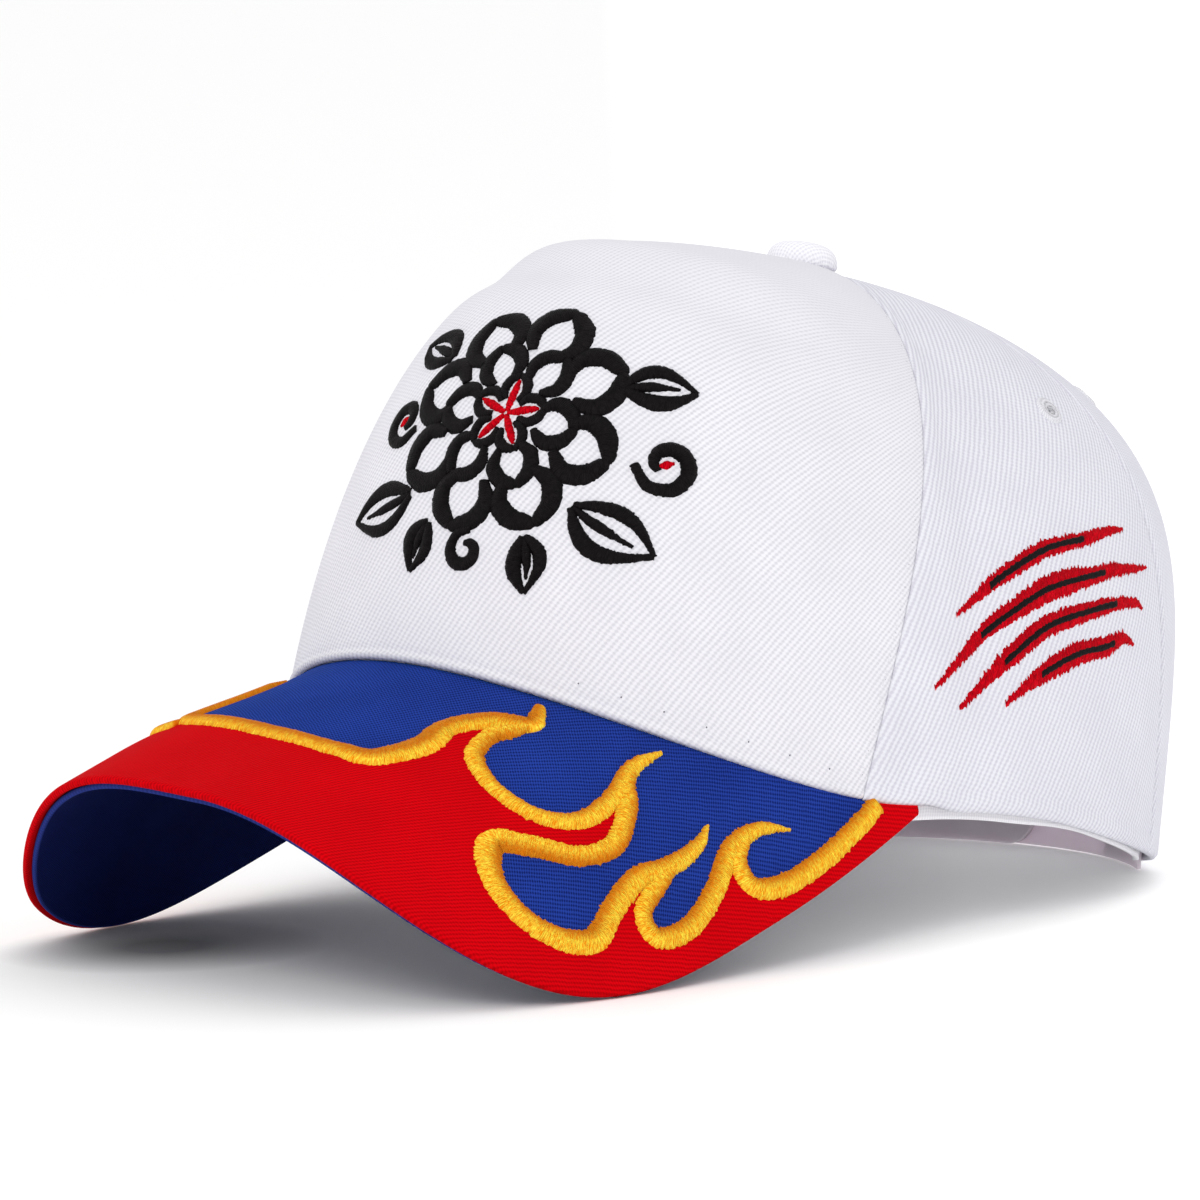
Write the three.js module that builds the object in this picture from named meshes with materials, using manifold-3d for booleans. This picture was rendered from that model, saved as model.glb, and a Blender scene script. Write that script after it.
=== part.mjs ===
// A five-panel cap with a steeply curved peak and a snap strap, in millimetres.
// +Z is up, the front faces -Y and +X is the wearer's left. Z 0 is the surface that it stands on.
// Angles go round the crown from the front: 0 at the front, 90 at the wearer's left, 180 at the back.
// A share runs up the cloth from 0 at the rim to 1 at the apex, under the top button.

import * as THREE from 'three';
import { mergeVertices } from 'three/addons/utils/BufferGeometryUtils.js';
import Module from 'manifold-3d';

// Ground plan of the rim: a squared oval about the crown's axis
const HALF_WIDTH = 84.2;
const FRONT_REACH = 97;
const BACK_REACH = 98;
const PLAN_POWER = 2.19;

// Height of the apex, its distance behind the crown's axis, and the fall of the roof towards the back
const APEX_HEIGHT = 135.5;
const APEX_BACK = 27.7;
const ROOF_FALL = 0.24;

// How the cloth rises: powers of the wall and of the roof, and how far the wall leans in by the top
const RISE = {
  front: { wall: 4.7, roof: 1.6, lean: 0 },
  side: { wall: 1.98, roof: 2.55, lean: 0.137 },
  back: { wall: 1.91, roof: 4.95, lean: 0.005 },
};
const RISE_BLEND = 1.5;

// Height of the rim: it follows the peak to the join, falls past the ear and meets the surface
// behind. The slopes are in millimetres to a degree.
const JOIN_ANGLE = 74.6;
const EAR_ANGLE = 108;
const EAR_HEIGHT = 18.6;
const LANDING_ANGLE = 160;
const JOIN_STEEPNESS = 0.4;
const EAR_SLOPE = -0.45;
const LANDING_SLOPE = -0.12;

// Peak: part of a cylinder that slopes down to the front, with a squared outline
const PEAK_HEIGHT = 61.7;
const PEAK_SLOPE = 0.324;
const PEAK_RADIUS = 87.6;
const PEAK_HALF_WIDTH = 83.65;
const PEAK_REACH = 93;
const PEAK_SHOULDER = -64.1;
const PEAK_SIDE_PART = 0.24;
const PEAK_POWER = 3.75;
const PEAK_COVER = 1.8;
const PEAK_LINING = 1.3;
const PEAK_TUCK = 1;
const LINING_INSET = 0.8;

// The peak is bent a little flatter at the wearer's right: a swell round a place on its curve that
// rises from nothing near the crown to its full height near the front edge
const SWELL = { height: 6.1, round: -45.5, inner: 50.5, outer: 41, from: -89, to: -138.5 };

// Seams, each an angle at the rim and how far it swings round by the apex
const SEAMS = {
  front: { rim: 65.3, swing: 14, bend: 11 },
  back: { rim: 132, swing: 0, bend: 0 },
};

// Cloth and clearances
const CLOTH = 1.8;
const GAP = 0.3;
const EDGE_KEEP = 1.5;
const EDGE_RUN_OUT = 8;
const CROWN_EYE = 3.6;

// Low relief of the crown: a crest over the stiff front panel and a soft furrow down each side panel
const CREST = { height: 1.2, share: 0.65, spread: 0.035, hollow: 1.3, hollowShare: 0.575, angle: 58 };
const FURROW = { depth: 1.5, angle: 84, spread: 5, share: 0.3, reach: 0.26 };

// Opening in the back, above the strap
const CORNER_ANGLE = 164;
const ARCH_HEIGHT = 51;

// Sweatband: a ring of tape inside the crown, below its edge at the sides and behind the peak
const TAPE = { depth: 4.1, thickness: 1.2, height: 30, frontDrop: 4, sideDrop: 1.7, end: 146 };
const TAPE_RUNS = { front: 24, frontEnd: JOIN_ANGLE + 1, side: 20, sideEnd: 114 };

// Strap halves. The half with holes lies outside and the half with pegs inside, end over end behind
const STRAP = { height: 15, thickness: 1.2, lift: 0.4, outerDepth: 2.4, innerDepth: 4 };
const OUTER_HALF = { from: 150, to: 201 };
const INNER_HALF = { from: 210, to: 179 };
const STRAP_STEP = { from: 209, to: 203 };
const STRAP_END_ROUND = 0.94;
const HOLES = { count: 7, pitch: 8, radius: 1.9, last: 194 };
const PEGS = { radius: 1.4, height: 1.7, count: 3 };

// Top button and eyelets
const BUTTON = { radius: 7.8, height: 5.6, skirt: 0.9, tuck: 0.8, fullness: 0.7 };
const SHANK = { radius: 2.9, depth: 3.2 };
const EYELET = { radius: 3.5, hole: 1.1, proud: 0.5, rim: 0.5, sides: 14 };
const EYELETS = [
  { name: 'side', angle: 116.7, share: 0.589 },
  { name: 'back', angle: 154, share: 0.6 },
];

const WHITE_TWILL = { color: 0xe9e9ee, roughness: 0.9, metalness: 0 };
const RED_TWILL = { color: 0xc8060f, roughness: 0.85, metalness: 0 };
const BLUE_TWILL = { color: 0x1c3f94, roughness: 0.85, metalness: 0 };
const WHITE_TAPE = { color: 0xe4e2e6, roughness: 0.9, metalness: 0 };
const MAUVE_PLASTIC = { color: 0x9c8d98, roughness: 0.45, metalness: 0 };

const wasm = await Module();
wasm.setup();

const radians = THREE.MathUtils.degToRad;
const lerp = THREE.MathUtils.lerp;
const clamp = THREE.MathUtils.clamp;

function bump(value, centre, spread) {
  return Math.exp(-(((value - centre) / spread) ** 2));
}

// Cubic through two heights with the given slopes, part 0 to 1 over a run
function easedHeight(part, run, start, end, startSlope, endSlope) {
  const square = part * part;
  const cube = square * part;
  return (2 * cube - 3 * square + 1) * start + (cube - 2 * square + part) * run * startSlope
    + (3 * square - 2 * cube) * end + (cube - square) * run * endSlope;
}

// Rim seen from above
function rimPlan(angle) {
  const across = Math.sin(radians(angle));
  const along = Math.cos(radians(angle));
  const reach = along > 0 ? FRONT_REACH : BACK_REACH;
  const sum = Math.abs(across / HALF_WIDTH) ** PLAN_POWER + Math.abs(along / reach) ** PLAN_POWER;
  const radius = sum ** (-1 / PLAN_POWER);
  return { x: radius * across, y: -radius * along };
}

// How far the peak's face is raised where it is bent flatter
function peakSwell(x, y) {
  const past = PEAK_RADIUS * Math.asin(clamp(x / PEAK_RADIUS, -1, 1)) - SWELL.round;
  const across = Math.cos((Math.PI / 2) * clamp(past / (past > 0 ? SWELL.inner : SWELL.outer), -1, 1)) ** 2;
  return SWELL.height * across * THREE.MathUtils.smoothstep(SWELL.from - y, 0, SWELL.from - SWELL.to);
}

// Height of the peak's upper face over a place in plan
function peakFace(x, y) {
  const sag = PEAK_RADIUS - Math.sqrt(PEAK_RADIUS ** 2 - x * x);
  return PEAK_HEIGHT + PEAK_SLOPE * (y + FRONT_REACH) - sag + peakSwell(x, y);
}

function peakFaceAtRim(angle) {
  const place = rimPlan(angle);
  return peakFace(place.x, place.y);
}

function rimHeight(signedAngle) {
  const angle = Math.abs(signedAngle > 180 ? signedAngle - 360 : signedAngle);
  if (angle <= JOIN_ANGLE) return peakFaceAtRim(angle);
  const step = 0.05;
  const joinHeight = peakFaceAtRim(JOIN_ANGLE);
  const joinSlope = (joinHeight - peakFaceAtRim(JOIN_ANGLE - step)) / step;
  const startSlope = JOIN_STEEPNESS * joinSlope;
  if (angle < EAR_ANGLE) {
    const run = EAR_ANGLE - JOIN_ANGLE;
    return easedHeight((angle - JOIN_ANGLE) / run, run, joinHeight, EAR_HEIGHT, startSlope, EAR_SLOPE);
  }
  if (angle < LANDING_ANGLE) {
    const run = LANDING_ANGLE - EAR_ANGLE;
    return easedHeight((angle - EAR_ANGLE) / run, run, EAR_HEIGHT, 0, EAR_SLOPE, LANDING_SLOPE);
  }
  return 0;
}

// Powers and lean at an angle, between the front's, the sides' and the back's
function riseAt(angle) {
  const along = Math.cos(radians(angle));
  const end = along > 0 ? RISE.front : RISE.back;
  const weight = Math.abs(along) ** RISE_BLEND;
  return {
    wall: lerp(RISE.side.wall, end.wall, weight),
    roof: lerp(RISE.side.roof, end.roof, weight),
    lean: lerp(RISE.side.lean, end.lean, weight),
  };
}

// One line up the cloth at an angle, as points and the length of cloth up to each
const LINE_STEPS = 48;
const lines = new Map();
function lineUp(angle) {
  if (lines.has(angle)) return lines.get(angle);
  const rise = riseAt(angle);
  const rim = rimPlan(angle);
  const rimZ = rimHeight(angle);
  const points = [];
  const lengths = [0];
  for (let i = 0; i <= LINE_STEPS; i++) {
    const part = i / LINE_STEPS;
    const turn = (Math.PI / 2) * (1 - (1 - part ** (rise.roof / 2)) ** (rise.wall / 2));
    const inward = i === LINE_STEPS ? 0 : Math.cos(turn) ** (2 / rise.wall);
    const upward = i === LINE_STEPS ? 1 : Math.sin(turn) ** (2 / rise.roof);
    const scale = inward * (1 - rise.lean * upward);
    const y = rim.y * scale + APEX_BACK * upward;
    const top = APEX_HEIGHT + ROOF_FALL * (APEX_BACK - y);
    points.push(new THREE.Vector3(rim.x * scale, y, rimZ + (top - rimZ) * upward));
    if (i > 0) lengths.push(lengths[i - 1] + points[i].distanceTo(points[i - 1]));
  }
  const line = { points, lengths, total: lengths[LINE_STEPS] };
  lines.set(angle, line);
  return line;
}

function plainPoint(angle, share) {
  const line = lineUp(angle);
  const wanted = clamp(share, 0, 1) * line.total;
  let i = 0;
  while (i < LINE_STEPS - 1 && line.lengths[i + 1] <= wanted) i++;
  const part = (wanted - line.lengths[i]) / (line.lengths[i + 1] - line.lengths[i]);
  return line.points[i].clone().lerp(line.points[i + 1], part);
}

// Outward normal of the smooth crown
function outward(angle, share) {
  const turn = 1.2;
  const climb = 0.01;
  const place = Math.min(share, 0.985);
  const round = plainPoint(angle + turn, place).sub(plainPoint(angle - turn, place));
  const up = plainPoint(angle, place + climb).sub(plainPoint(angle, Math.max(0, place - climb)));
  return round.cross(up).normalize();
}

function relief(angle, share) {
  const side = Math.abs(angle > 180 ? angle - 360 : angle);
  const ahead = clamp(1 - (side / CREST.angle) ** 4, 0, 1);
  const crest = CREST.height * bump(share, CREST.share, CREST.spread);
  const hollow = CREST.hollow * bump(share, CREST.hollowShare, CREST.spread);
  const across = bump(side, FURROW.angle, FURROW.spread);
  const along = bump(share, FURROW.share, FURROW.reach);
  return ahead * (crest - hollow) - FURROW.depth * across * along;
}

// A place in the cloth, some depth in from its outer face
function crownPoint(angle, share, depth = 0) {
  const offset = relief(angle, share) - depth;
  return plainPoint(angle, share).addScaledVector(outward(angle, share), offset);
}

// Share of the cloth's length at an angle that a length in millimetres makes
function shareOf(length, angle) {
  return length / lineUp(angle).total;
}

function solidFromMesh(positions, triangles) {
  const mesh = new wasm.Mesh({
    numProp: 3,
    vertProperties: Float32Array.from(positions),
    triVerts: Uint32Array.from(triangles),
  });
  return new wasm.Manifold(mesh);
}

function solidFromGeometry(geometry) {
  const plain = geometry.clone();
  plain.deleteAttribute('normal');
  plain.deleteAttribute('uv');
  const merged = mergeVertices(plain, 1e-4);
  return solidFromMesh(merged.attributes.position.array, merged.index.array);
}

function geometryFromSolid(solid) {
  const mesh = solid.getMesh();
  const geometry = new THREE.BufferGeometry();
  geometry.setAttribute('position', new THREE.BufferAttribute(mesh.vertProperties.slice(), 3));
  geometry.setIndex(new THREE.BufferAttribute(mesh.triVerts.slice(), 1));
  return geometry;
}

// A closed wall between two grids of points, edged all round. outer and inner give a grid's point
// at a column and a row. Columns run anticlockwise seen from outside and rows run up.
function wallSolid(columns, rows, outer, inner) {
  const positions = [];
  const triangles = [];
  const layer = (columns + 1) * (rows + 1);
  for (const face of [outer, inner]) {
    for (let row = 0; row <= rows; row++) {
      for (let column = 0; column <= columns; column++) positions.push(...face(column, row));
    }
  }
  const at = (side, column, row) => side * layer + row * (columns + 1) + column;
  const quad = (a, b, c, d) => triangles.push(a, b, c, a, c, d);
  for (let row = 0; row < rows; row++) {
    for (let column = 0; column < columns; column++) {
      quad(at(0, column, row), at(0, column + 1, row), at(0, column + 1, row + 1), at(0, column, row + 1));
      quad(at(1, column, row), at(1, column, row + 1), at(1, column + 1, row + 1), at(1, column + 1, row));
    }
  }
  for (let column = 0; column < columns; column++) {
    quad(at(0, column, 0), at(1, column, 0), at(1, column + 1, 0), at(0, column + 1, 0));
    quad(at(0, column, rows), at(0, column + 1, rows), at(1, column + 1, rows), at(1, column, rows));
  }
  for (let row = 0; row < rows; row++) {
    quad(at(0, 0, row), at(0, 0, row + 1), at(1, 0, row + 1), at(1, 0, row));
    quad(at(0, columns, row), at(1, columns, row), at(1, columns, row + 1), at(0, columns, row + 1));
  }
  return solidFromMesh(positions, triangles);
}

function seamAngle(seam, share) {
  return seam.rim + seam.swing * share + seam.bend * share * share * (1 - share) * 2;
}

// Half the gap between two panels, as an angle
function halfGap(angle, share) {
  const here = plainPoint(angle, share);
  const reach = Math.hypot(here.x, here.y - APEX_BACK * share);
  return THREE.MathUtils.radToDeg(GAP / 2 / Math.max(reach, CROWN_EYE));
}

// One cloth panel between two seams. left and right give the angle of each edge at a share, and
// crowding over 1 draws the columns towards the left edge.
function panelSolid(columns, rows, left, right, crowding) {
  const place = (column, row, depth) => {
    const across = (column / columns) ** crowding;
    const up = row / rows;
    const rimAngle = lerp(left(0), right(0), across);
    const start = panelFoot(rimAngle, depth);
    const end = 1 - shareOf(CROWN_EYE, rimAngle);
    const share = lerp(start, end, up);
    const low = left(share) + halfGap(left(share), share);
    const high = right(share) - halfGap(right(share), share);
    const point = crownPoint(lerp(low, high, across), share, depth);
    if (row === 0 && Math.abs(rimAngle) <= JOIN_ANGLE) point.z = edgeOverPeak(point.x, point.y);
    if (row === 0 && share === 0) point.z = rimHeight(rimAngle);
    return point;
  };
  return wallSolid(columns, rows, (c, r) => place(c, r, 0), (c, r) => place(c, r, CLOTH));
}

// Height of a panel's lower edge just above the peak, so that it follows the peak's slope
function edgeOverPeak(x, y) {
  const steepness = PEAK_RADIUS / Math.sqrt(PEAK_RADIUS ** 2 - x * x);
  return peakFace(x, y) + GAP * steepness;
}

// Where a panel starts: at the rim, and over the peak on an edge that runs out behind the join
function panelFoot(angle, depth) {
  const side = Math.abs(angle);
  const over = 1 - THREE.MathUtils.smoothstep(side, JOIN_ANGLE + EDGE_KEEP, JOIN_ANGLE + EDGE_RUN_OUT);
  const rim = rimPlan(Math.min(side, JOIN_ANGLE));
  const inward = 1 - depth / Math.hypot(rim.x, rim.y);
  const climb = edgeOverPeak(rim.x * inward, rim.y * inward) - peakFace(rim.x, rim.y);
  return shareOf(over * climb, angle);
}

function frontPanel() {
  const seam = (share) => seamAngle(SEAMS.front, share);
  return panelSolid(22, 15, (share) => -seam(share), seam, 1);
}

// Side panel at the wearer's left, pierced for its eyelet, with more columns where the peak joins
function sidePanel() {
  const crowding = 1.35;
  const front = (share) => seamAngle(SEAMS.front, share);
  const back = (share) => seamAngle(SEAMS.back, share);
  const panel = panelSolid(13, 14, front, back, crowding);
  return panel.subtract(eyeletDrill(EYELETS[0]));
}

// Back panel at the wearer's left, with half of the arched opening cut from its foot. The stretch
// of its edge between the landing and the arch is flat and stands on the surface.
function backPanel() {
  const slopingColumns = 4;
  const rimColumns = slopingColumns + 1;
  const archColumns = 9;
  const columns = rimColumns + archColumns;
  const rows = 12;
  const archHalf = 180 - CORNER_ANGLE;
  const footAt = (column) => {
    if (column === rimColumns) return { angle: CORNER_ANGLE, height: 0 };
    if (column < rimColumns) {
      return { angle: lerp(SEAMS.back.rim, LANDING_ANGLE, column / slopingColumns), height: 0 };
    }
    const turn = (Math.PI / 2) * (1 - (column - rimColumns) / archColumns);
    return { angle: 180 - archHalf * Math.sin(turn), height: ARCH_HEIGHT * Math.cos(turn) };
  };
  const place = (column, row, depth) => {
    const foot = footAt(column);
    const start = shareOf(foot.height, foot.angle);
    const end = 1 - shareOf(CROWN_EYE, foot.angle);
    const up = row / rows;
    const share = start * (1 - up) ** 2 + end * up;
    const edge = column === 0 ? halfGap(foot.angle, share) : column === columns ? -halfGap(180, share) : 0;
    const point = crownPoint(foot.angle + edge, share, depth);
    if (share === 0) point.z = rimHeight(foot.angle);
    return point;
  };
  const panel = wallSolid(columns, rows, (c, r) => place(c, r, 0), (c, r) => place(c, r, CLOTH));
  return panel.subtract(eyeletDrill(EYELETS[1]));
}

// The turn that stands a shape made along +Z on the crown at an angle and share
function standOnCrown(angle, share) {
  const turn = new THREE.Quaternion().setFromUnitVectors(new THREE.Vector3(0, 0, 1), outward(angle, share));
  return new THREE.Matrix4().compose(crownPoint(angle, share), turn, new THREE.Vector3(1, 1, 1));
}

function eyeletDrill(eyelet) {
  const length = 12;
  const drill = new THREE.CylinderGeometry(EYELET.radius + GAP, EYELET.radius + GAP, length, EYELET.sides);
  drill.rotateX(Math.PI / 2);
  drill.applyMatrix4(standOnCrown(eyelet.angle, eyelet.share));
  return solidFromGeometry(drill);
}

// A bound eyelet, a ring of thread through the cloth
function eyeletGeometry(eyelet) {
  const { radius, hole, proud, rim, sides } = EYELET;
  const profile = [
    [hole, -CLOTH], [radius - rim, -CLOTH - GAP], [radius, -CLOTH + rim], [radius, proud - rim],
    [radius - rim, proud], [hole + rim, proud], [hole, 0], [hole, -CLOTH],
  ].map(([x, y]) => new THREE.Vector2(x, y));
  const ring = new THREE.LatheGeometry(profile, sides);
  ring.rotateX(Math.PI / 2);
  ring.applyMatrix4(standOnCrown(eyelet.angle, eyelet.share));
  return geometryFromSolid(solidFromGeometry(ring));
}

// Half of the peak's outline from the join round to the middle of the front, in plan
function peakOutline(part) {
  const join = rimPlan(JOIN_ANGLE);
  if (part < PEAK_SIDE_PART) {
    const along = part / PEAK_SIDE_PART;
    return {
      x: lerp(join.x, PEAK_HALF_WIDTH, 1 - (1 - along) ** 2),
      y: lerp(join.y, PEAK_SHOULDER, along),
    };
  }
  const turn = (Math.PI / 2) * (1 - (part - PEAK_SIDE_PART) / (1 - PEAK_SIDE_PART));
  const bow = 2 / PEAK_POWER;
  return {
    x: PEAK_HALF_WIDTH * Math.sin(turn) ** bow,
    y: PEAK_SHOULDER - PEAK_REACH * Math.cos(turn) ** bow,
  };
}

// A place in the peak, by its distance round the curve, its plan y and its depth below the upper face
function peakPoint(round, y, depth) {
  const turn = round / PEAK_RADIUS;
  const x = PEAK_RADIUS * Math.sin(turn);
  const normal = new THREE.Vector3(Math.sin(turn), -PEAK_SLOPE * Math.cos(turn), Math.cos(turn)).normalize();
  return new THREE.Vector3(x, y, peakFace(x, y)).addScaledVector(normal, -depth);
}

// One layer of the peak between two depths, set in from the outline by an inset
function peakLayer(columns, rows, top, bottom, inset) {
  const place = (column, row, depth) => {
    const across = (2 * column) / columns - 1;
    const hand = Math.sign(across);
    const rim = rimPlan(JOIN_ANGLE * across);
    const tuck = 1 - PEAK_TUCK / Math.hypot(rim.x, rim.y);
    const inner = { x: PEAK_RADIUS * Math.asin((rim.x * tuck) / PEAK_RADIUS), y: rim.y * tuck };
    const edge = peakOutline(1 - Math.abs(across));
    const outer = { x: hand * PEAK_RADIUS * Math.asin(edge.x / PEAK_RADIUS), y: edge.y };
    const length = Math.hypot(outer.x - inner.x, outer.y - inner.y);
    const part = (row / rows) * (1 - Math.min(inset / length, 1 / 2));
    return peakPoint(lerp(inner.x, outer.x, part), lerp(inner.y, outer.y, part), depth);
  };
  const upper = (column, row) => place(columns - column, row, top);
  const lower = (column, row) => place(columns - column, row, bottom);
  return wallSolid(columns, rows, upper, lower);
}

// Height of the tape's lower edge below the rim: deepest behind the peak, none behind the ear
function tapeDrop(angle) {
  const side = Math.abs(angle);
  const ahead = THREE.MathUtils.smoothstep(TAPE_RUNS.frontEnd - side, 0, TAPE_RUNS.front);
  const beside = THREE.MathUtils.smoothstep(TAPE_RUNS.sideEnd - side, 0, TAPE_RUNS.side);
  return lerp(TAPE.sideDrop * beside, TAPE.frontDrop, ahead);
}

function sweatband() {
  const columns = 44;
  const rows = 3;
  const place = (column, row, depth) => {
    const angle = lerp(-TAPE.end, TAPE.end, column / columns);
    const share = shareOf((TAPE.height * row) / rows, angle);
    const point = crownPoint(angle, share, depth);
    if (row === 0) point.z = rimHeight(angle) - tapeDrop(angle);
    return point;
  };
  const back = TAPE.depth + TAPE.thickness;
  return wallSolid(columns, rows, (c, r) => place(c, r, TAPE.depth), (c, r) => place(c, r, back));
}

// A place in the strap: an angle, a height above the surface and a depth in from the crown's face
function strapPoint(angle, height, depth) {
  const share = shareOf(Math.max(0, height - rimHeight(angle)), angle);
  const point = crownPoint(angle, share, depth);
  point.z = height;
  return point;
}

// A strip of the strap from one angle to another with a rounded free end. depthAt gives its depth.
function strapStrip(columns, half, depthAt) {
  const roundColumns = 5;
  const direction = Math.sign(half.to - half.from);
  const reach = Math.hypot(rimPlan(half.to).x, rimPlan(half.to).y);
  const radius = STRAP.height / 2;
  const roundAngle = THREE.MathUtils.radToDeg(radius / reach);
  const middle = STRAP.lift + radius;
  const place = (column, row, extra) => {
    const straight = columns - roundColumns;
    const roundPart = Math.max(0, column - straight) / roundColumns;
    const turn = (Math.PI / 2) * STRAP_END_ROUND * roundPart;
    const bend = half.to - direction * roundAngle * (1 - Math.sin(turn));
    const angle = column <= straight
      ? lerp(half.from, half.to - direction * roundAngle, column / straight)
      : bend;
    const height = middle + radius * Math.cos(turn) * (row === 0 ? -1 : 1);
    return strapPoint(angle, height, depthAt(angle) + extra);
  };
  const order = direction > 0 ? (column) => column : (column) => columns - column;
  const outer = (column, row) => place(order(column), row, 0);
  const inner = (column, row) => place(order(column), row, STRAP.thickness);
  return wallSolid(columns, 1, outer, inner);
}

// Where the holes are, one angle each
function holeAngles() {
  const reach = BACK_REACH - STRAP.outerDepth;
  const step = THREE.MathUtils.radToDeg(HOLES.pitch / reach);
  return Array.from({ length: HOLES.count }, (_, index) => HOLES.last - index * step);
}

// A round pin along the strap's own normal at an angle
function strapPin(angle, radius, from, to) {
  const sides = 10;
  const pin = new THREE.CylinderGeometry(radius, radius, to - from, sides);
  pin.rotateX(Math.PI / 2);
  pin.translate(0, 0, (from + to) / 2);
  const middle = STRAP.lift + STRAP.height / 2;
  const place = strapPoint(angle, middle, STRAP.innerDepth);
  const round = strapPoint(angle + 1, middle, 0).sub(strapPoint(angle - 1, middle, 0));
  const normal = round.cross(new THREE.Vector3(0, 0, 1)).normalize();
  const turn = new THREE.Quaternion().setFromUnitVectors(new THREE.Vector3(0, 0, 1), normal);
  pin.applyMatrix4(new THREE.Matrix4().compose(place, turn, new THREE.Vector3(1, 1, 1)));
  return solidFromGeometry(pin);
}

function strapWithHoles() {
  let strap = strapStrip(18, OUTER_HALF, () => STRAP.outerDepth);
  const drillReach = 6;
  for (const angle of holeAngles()) {
    strap = strap.subtract(strapPin(angle, HOLES.radius, -STRAP.innerDepth, drillReach));
  }
  return strap;
}

// The half with pegs steps in behind the other half as it leaves the crown
function strapWithPegs() {
  const depthAt = (angle) => {
    const inside = THREE.MathUtils.smoothstep(STRAP_STEP.from - angle, 0, STRAP_STEP.from - STRAP_STEP.to);
    return lerp(STRAP.outerDepth, STRAP.innerDepth, inside);
  };
  let strap = strapStrip(16, INNER_HALF, depthAt);
  for (const angle of holeAngles().slice(0, PEGS.count)) {
    strap = strap.add(strapPin(angle, PEGS.radius, -STRAP.thickness / 2, PEGS.height));
  }
  return strap;
}

// A domed button whose shank passes through the eye at the apex
function buttonGeometry() {
  const { radius, height, skirt, tuck, fullness } = BUTTON;
  const profile = [
    new THREE.Vector2(0, -SHANK.depth),
    new THREE.Vector2(SHANK.radius, -SHANK.depth),
    new THREE.Vector2(SHANK.radius, GAP),
    new THREE.Vector2(radius - tuck, GAP),
  ];
  const steps = 7;
  for (let i = 0; i <= steps; i++) {
    const turn = (Math.PI / 2) * (i / steps);
    const out = i === steps ? 0 : radius * Math.cos(turn) ** fullness;
    profile.push(new THREE.Vector2(out, GAP + skirt + (height - skirt) * Math.sin(turn)));
  }
  const button = new THREE.LatheGeometry(profile, 20);
  button.rotateX(Math.PI / 2);
  const normal = new THREE.Vector3(0, ROOF_FALL, 1).normalize();
  const turn = new THREE.Quaternion().setFromUnitVectors(new THREE.Vector3(0, 0, 1), normal);
  const apex = new THREE.Vector3(0, APEX_BACK, APEX_HEIGHT);
  button.applyMatrix4(new THREE.Matrix4().compose(apex, turn, new THREE.Vector3(1, 1, 1)));
  return geometryFromSolid(solidFromGeometry(button));
}

function mirrored(solid) {
  return solid.mirror([1, 0, 0]);
}

function piece(name, geometry, finish) {
  const flat = geometry.toNonIndexed();
  flat.computeVertexNormals();
  const mesh = new THREE.Mesh(flat, new THREE.MeshStandardMaterial(finish));
  mesh.name = name;
  return mesh;
}

function mirroredGeometry(geometry) {
  return geometryFromSolid(mirrored(solidFromGeometry(geometry)));
}

const cap = new THREE.Group();

const side = sidePanel();
const back = backPanel();
cap.add(piece('front_panel', geometryFromSolid(frontPanel()), WHITE_TWILL));
cap.add(piece('side_panel_left', geometryFromSolid(side), WHITE_TWILL));
cap.add(piece('side_panel_right', geometryFromSolid(mirrored(side)), WHITE_TWILL));
cap.add(piece('back_panel_left', geometryFromSolid(back), WHITE_TWILL));
cap.add(piece('back_panel_right', geometryFromSolid(mirrored(back)), WHITE_TWILL));

const lowerFace = PEAK_COVER + GAP;
cap.add(piece('peak_top', geometryFromSolid(peakLayer(28, 8, 0, PEAK_COVER, 0)), RED_TWILL));
cap.add(piece(
  'peak_lining',
  geometryFromSolid(peakLayer(28, 5, lowerFace, lowerFace + PEAK_LINING, LINING_INSET)),
  BLUE_TWILL,
));

cap.add(piece('sweatband', geometryFromSolid(sweatband()), WHITE_TAPE));
cap.add(piece('strap_holes', geometryFromSolid(strapWithHoles()), MAUVE_PLASTIC));
cap.add(piece('strap_pegs', geometryFromSolid(strapWithPegs()), MAUVE_PLASTIC));
cap.add(piece('top_button', buttonGeometry(), WHITE_TWILL));

for (const eyelet of EYELETS) {
  const ring = eyeletGeometry(eyelet);
  cap.add(piece(`eyelet_${eyelet.name}_left`, ring, WHITE_TWILL));
  cap.add(piece(`eyelet_${eyelet.name}_right`, mirroredGeometry(ring), WHITE_TWILL));
}

// The origin is under the middle of the whole cap, so the crown's axis stands behind it
const bounds = new THREE.Box3().setFromObject(cap);
cap.position.y = -(bounds.min.y + bounds.max.y) / 2;

export default cap;
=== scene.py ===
# Looks of a five-panel cap with an embroidered peak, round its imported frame.
# Lengths are in millimetres until a mesh is made, and +Y runs to the back from the crown's axis.
# An angle goes round the crown from the front, 90 at the wearer's left, and a share runs up the
# cloth from 0 at the rim to 1 at the apex.
import math
from functools import partial

import bmesh
import bpy
import numpy as np
from mathutils import Matrix, Vector


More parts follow.
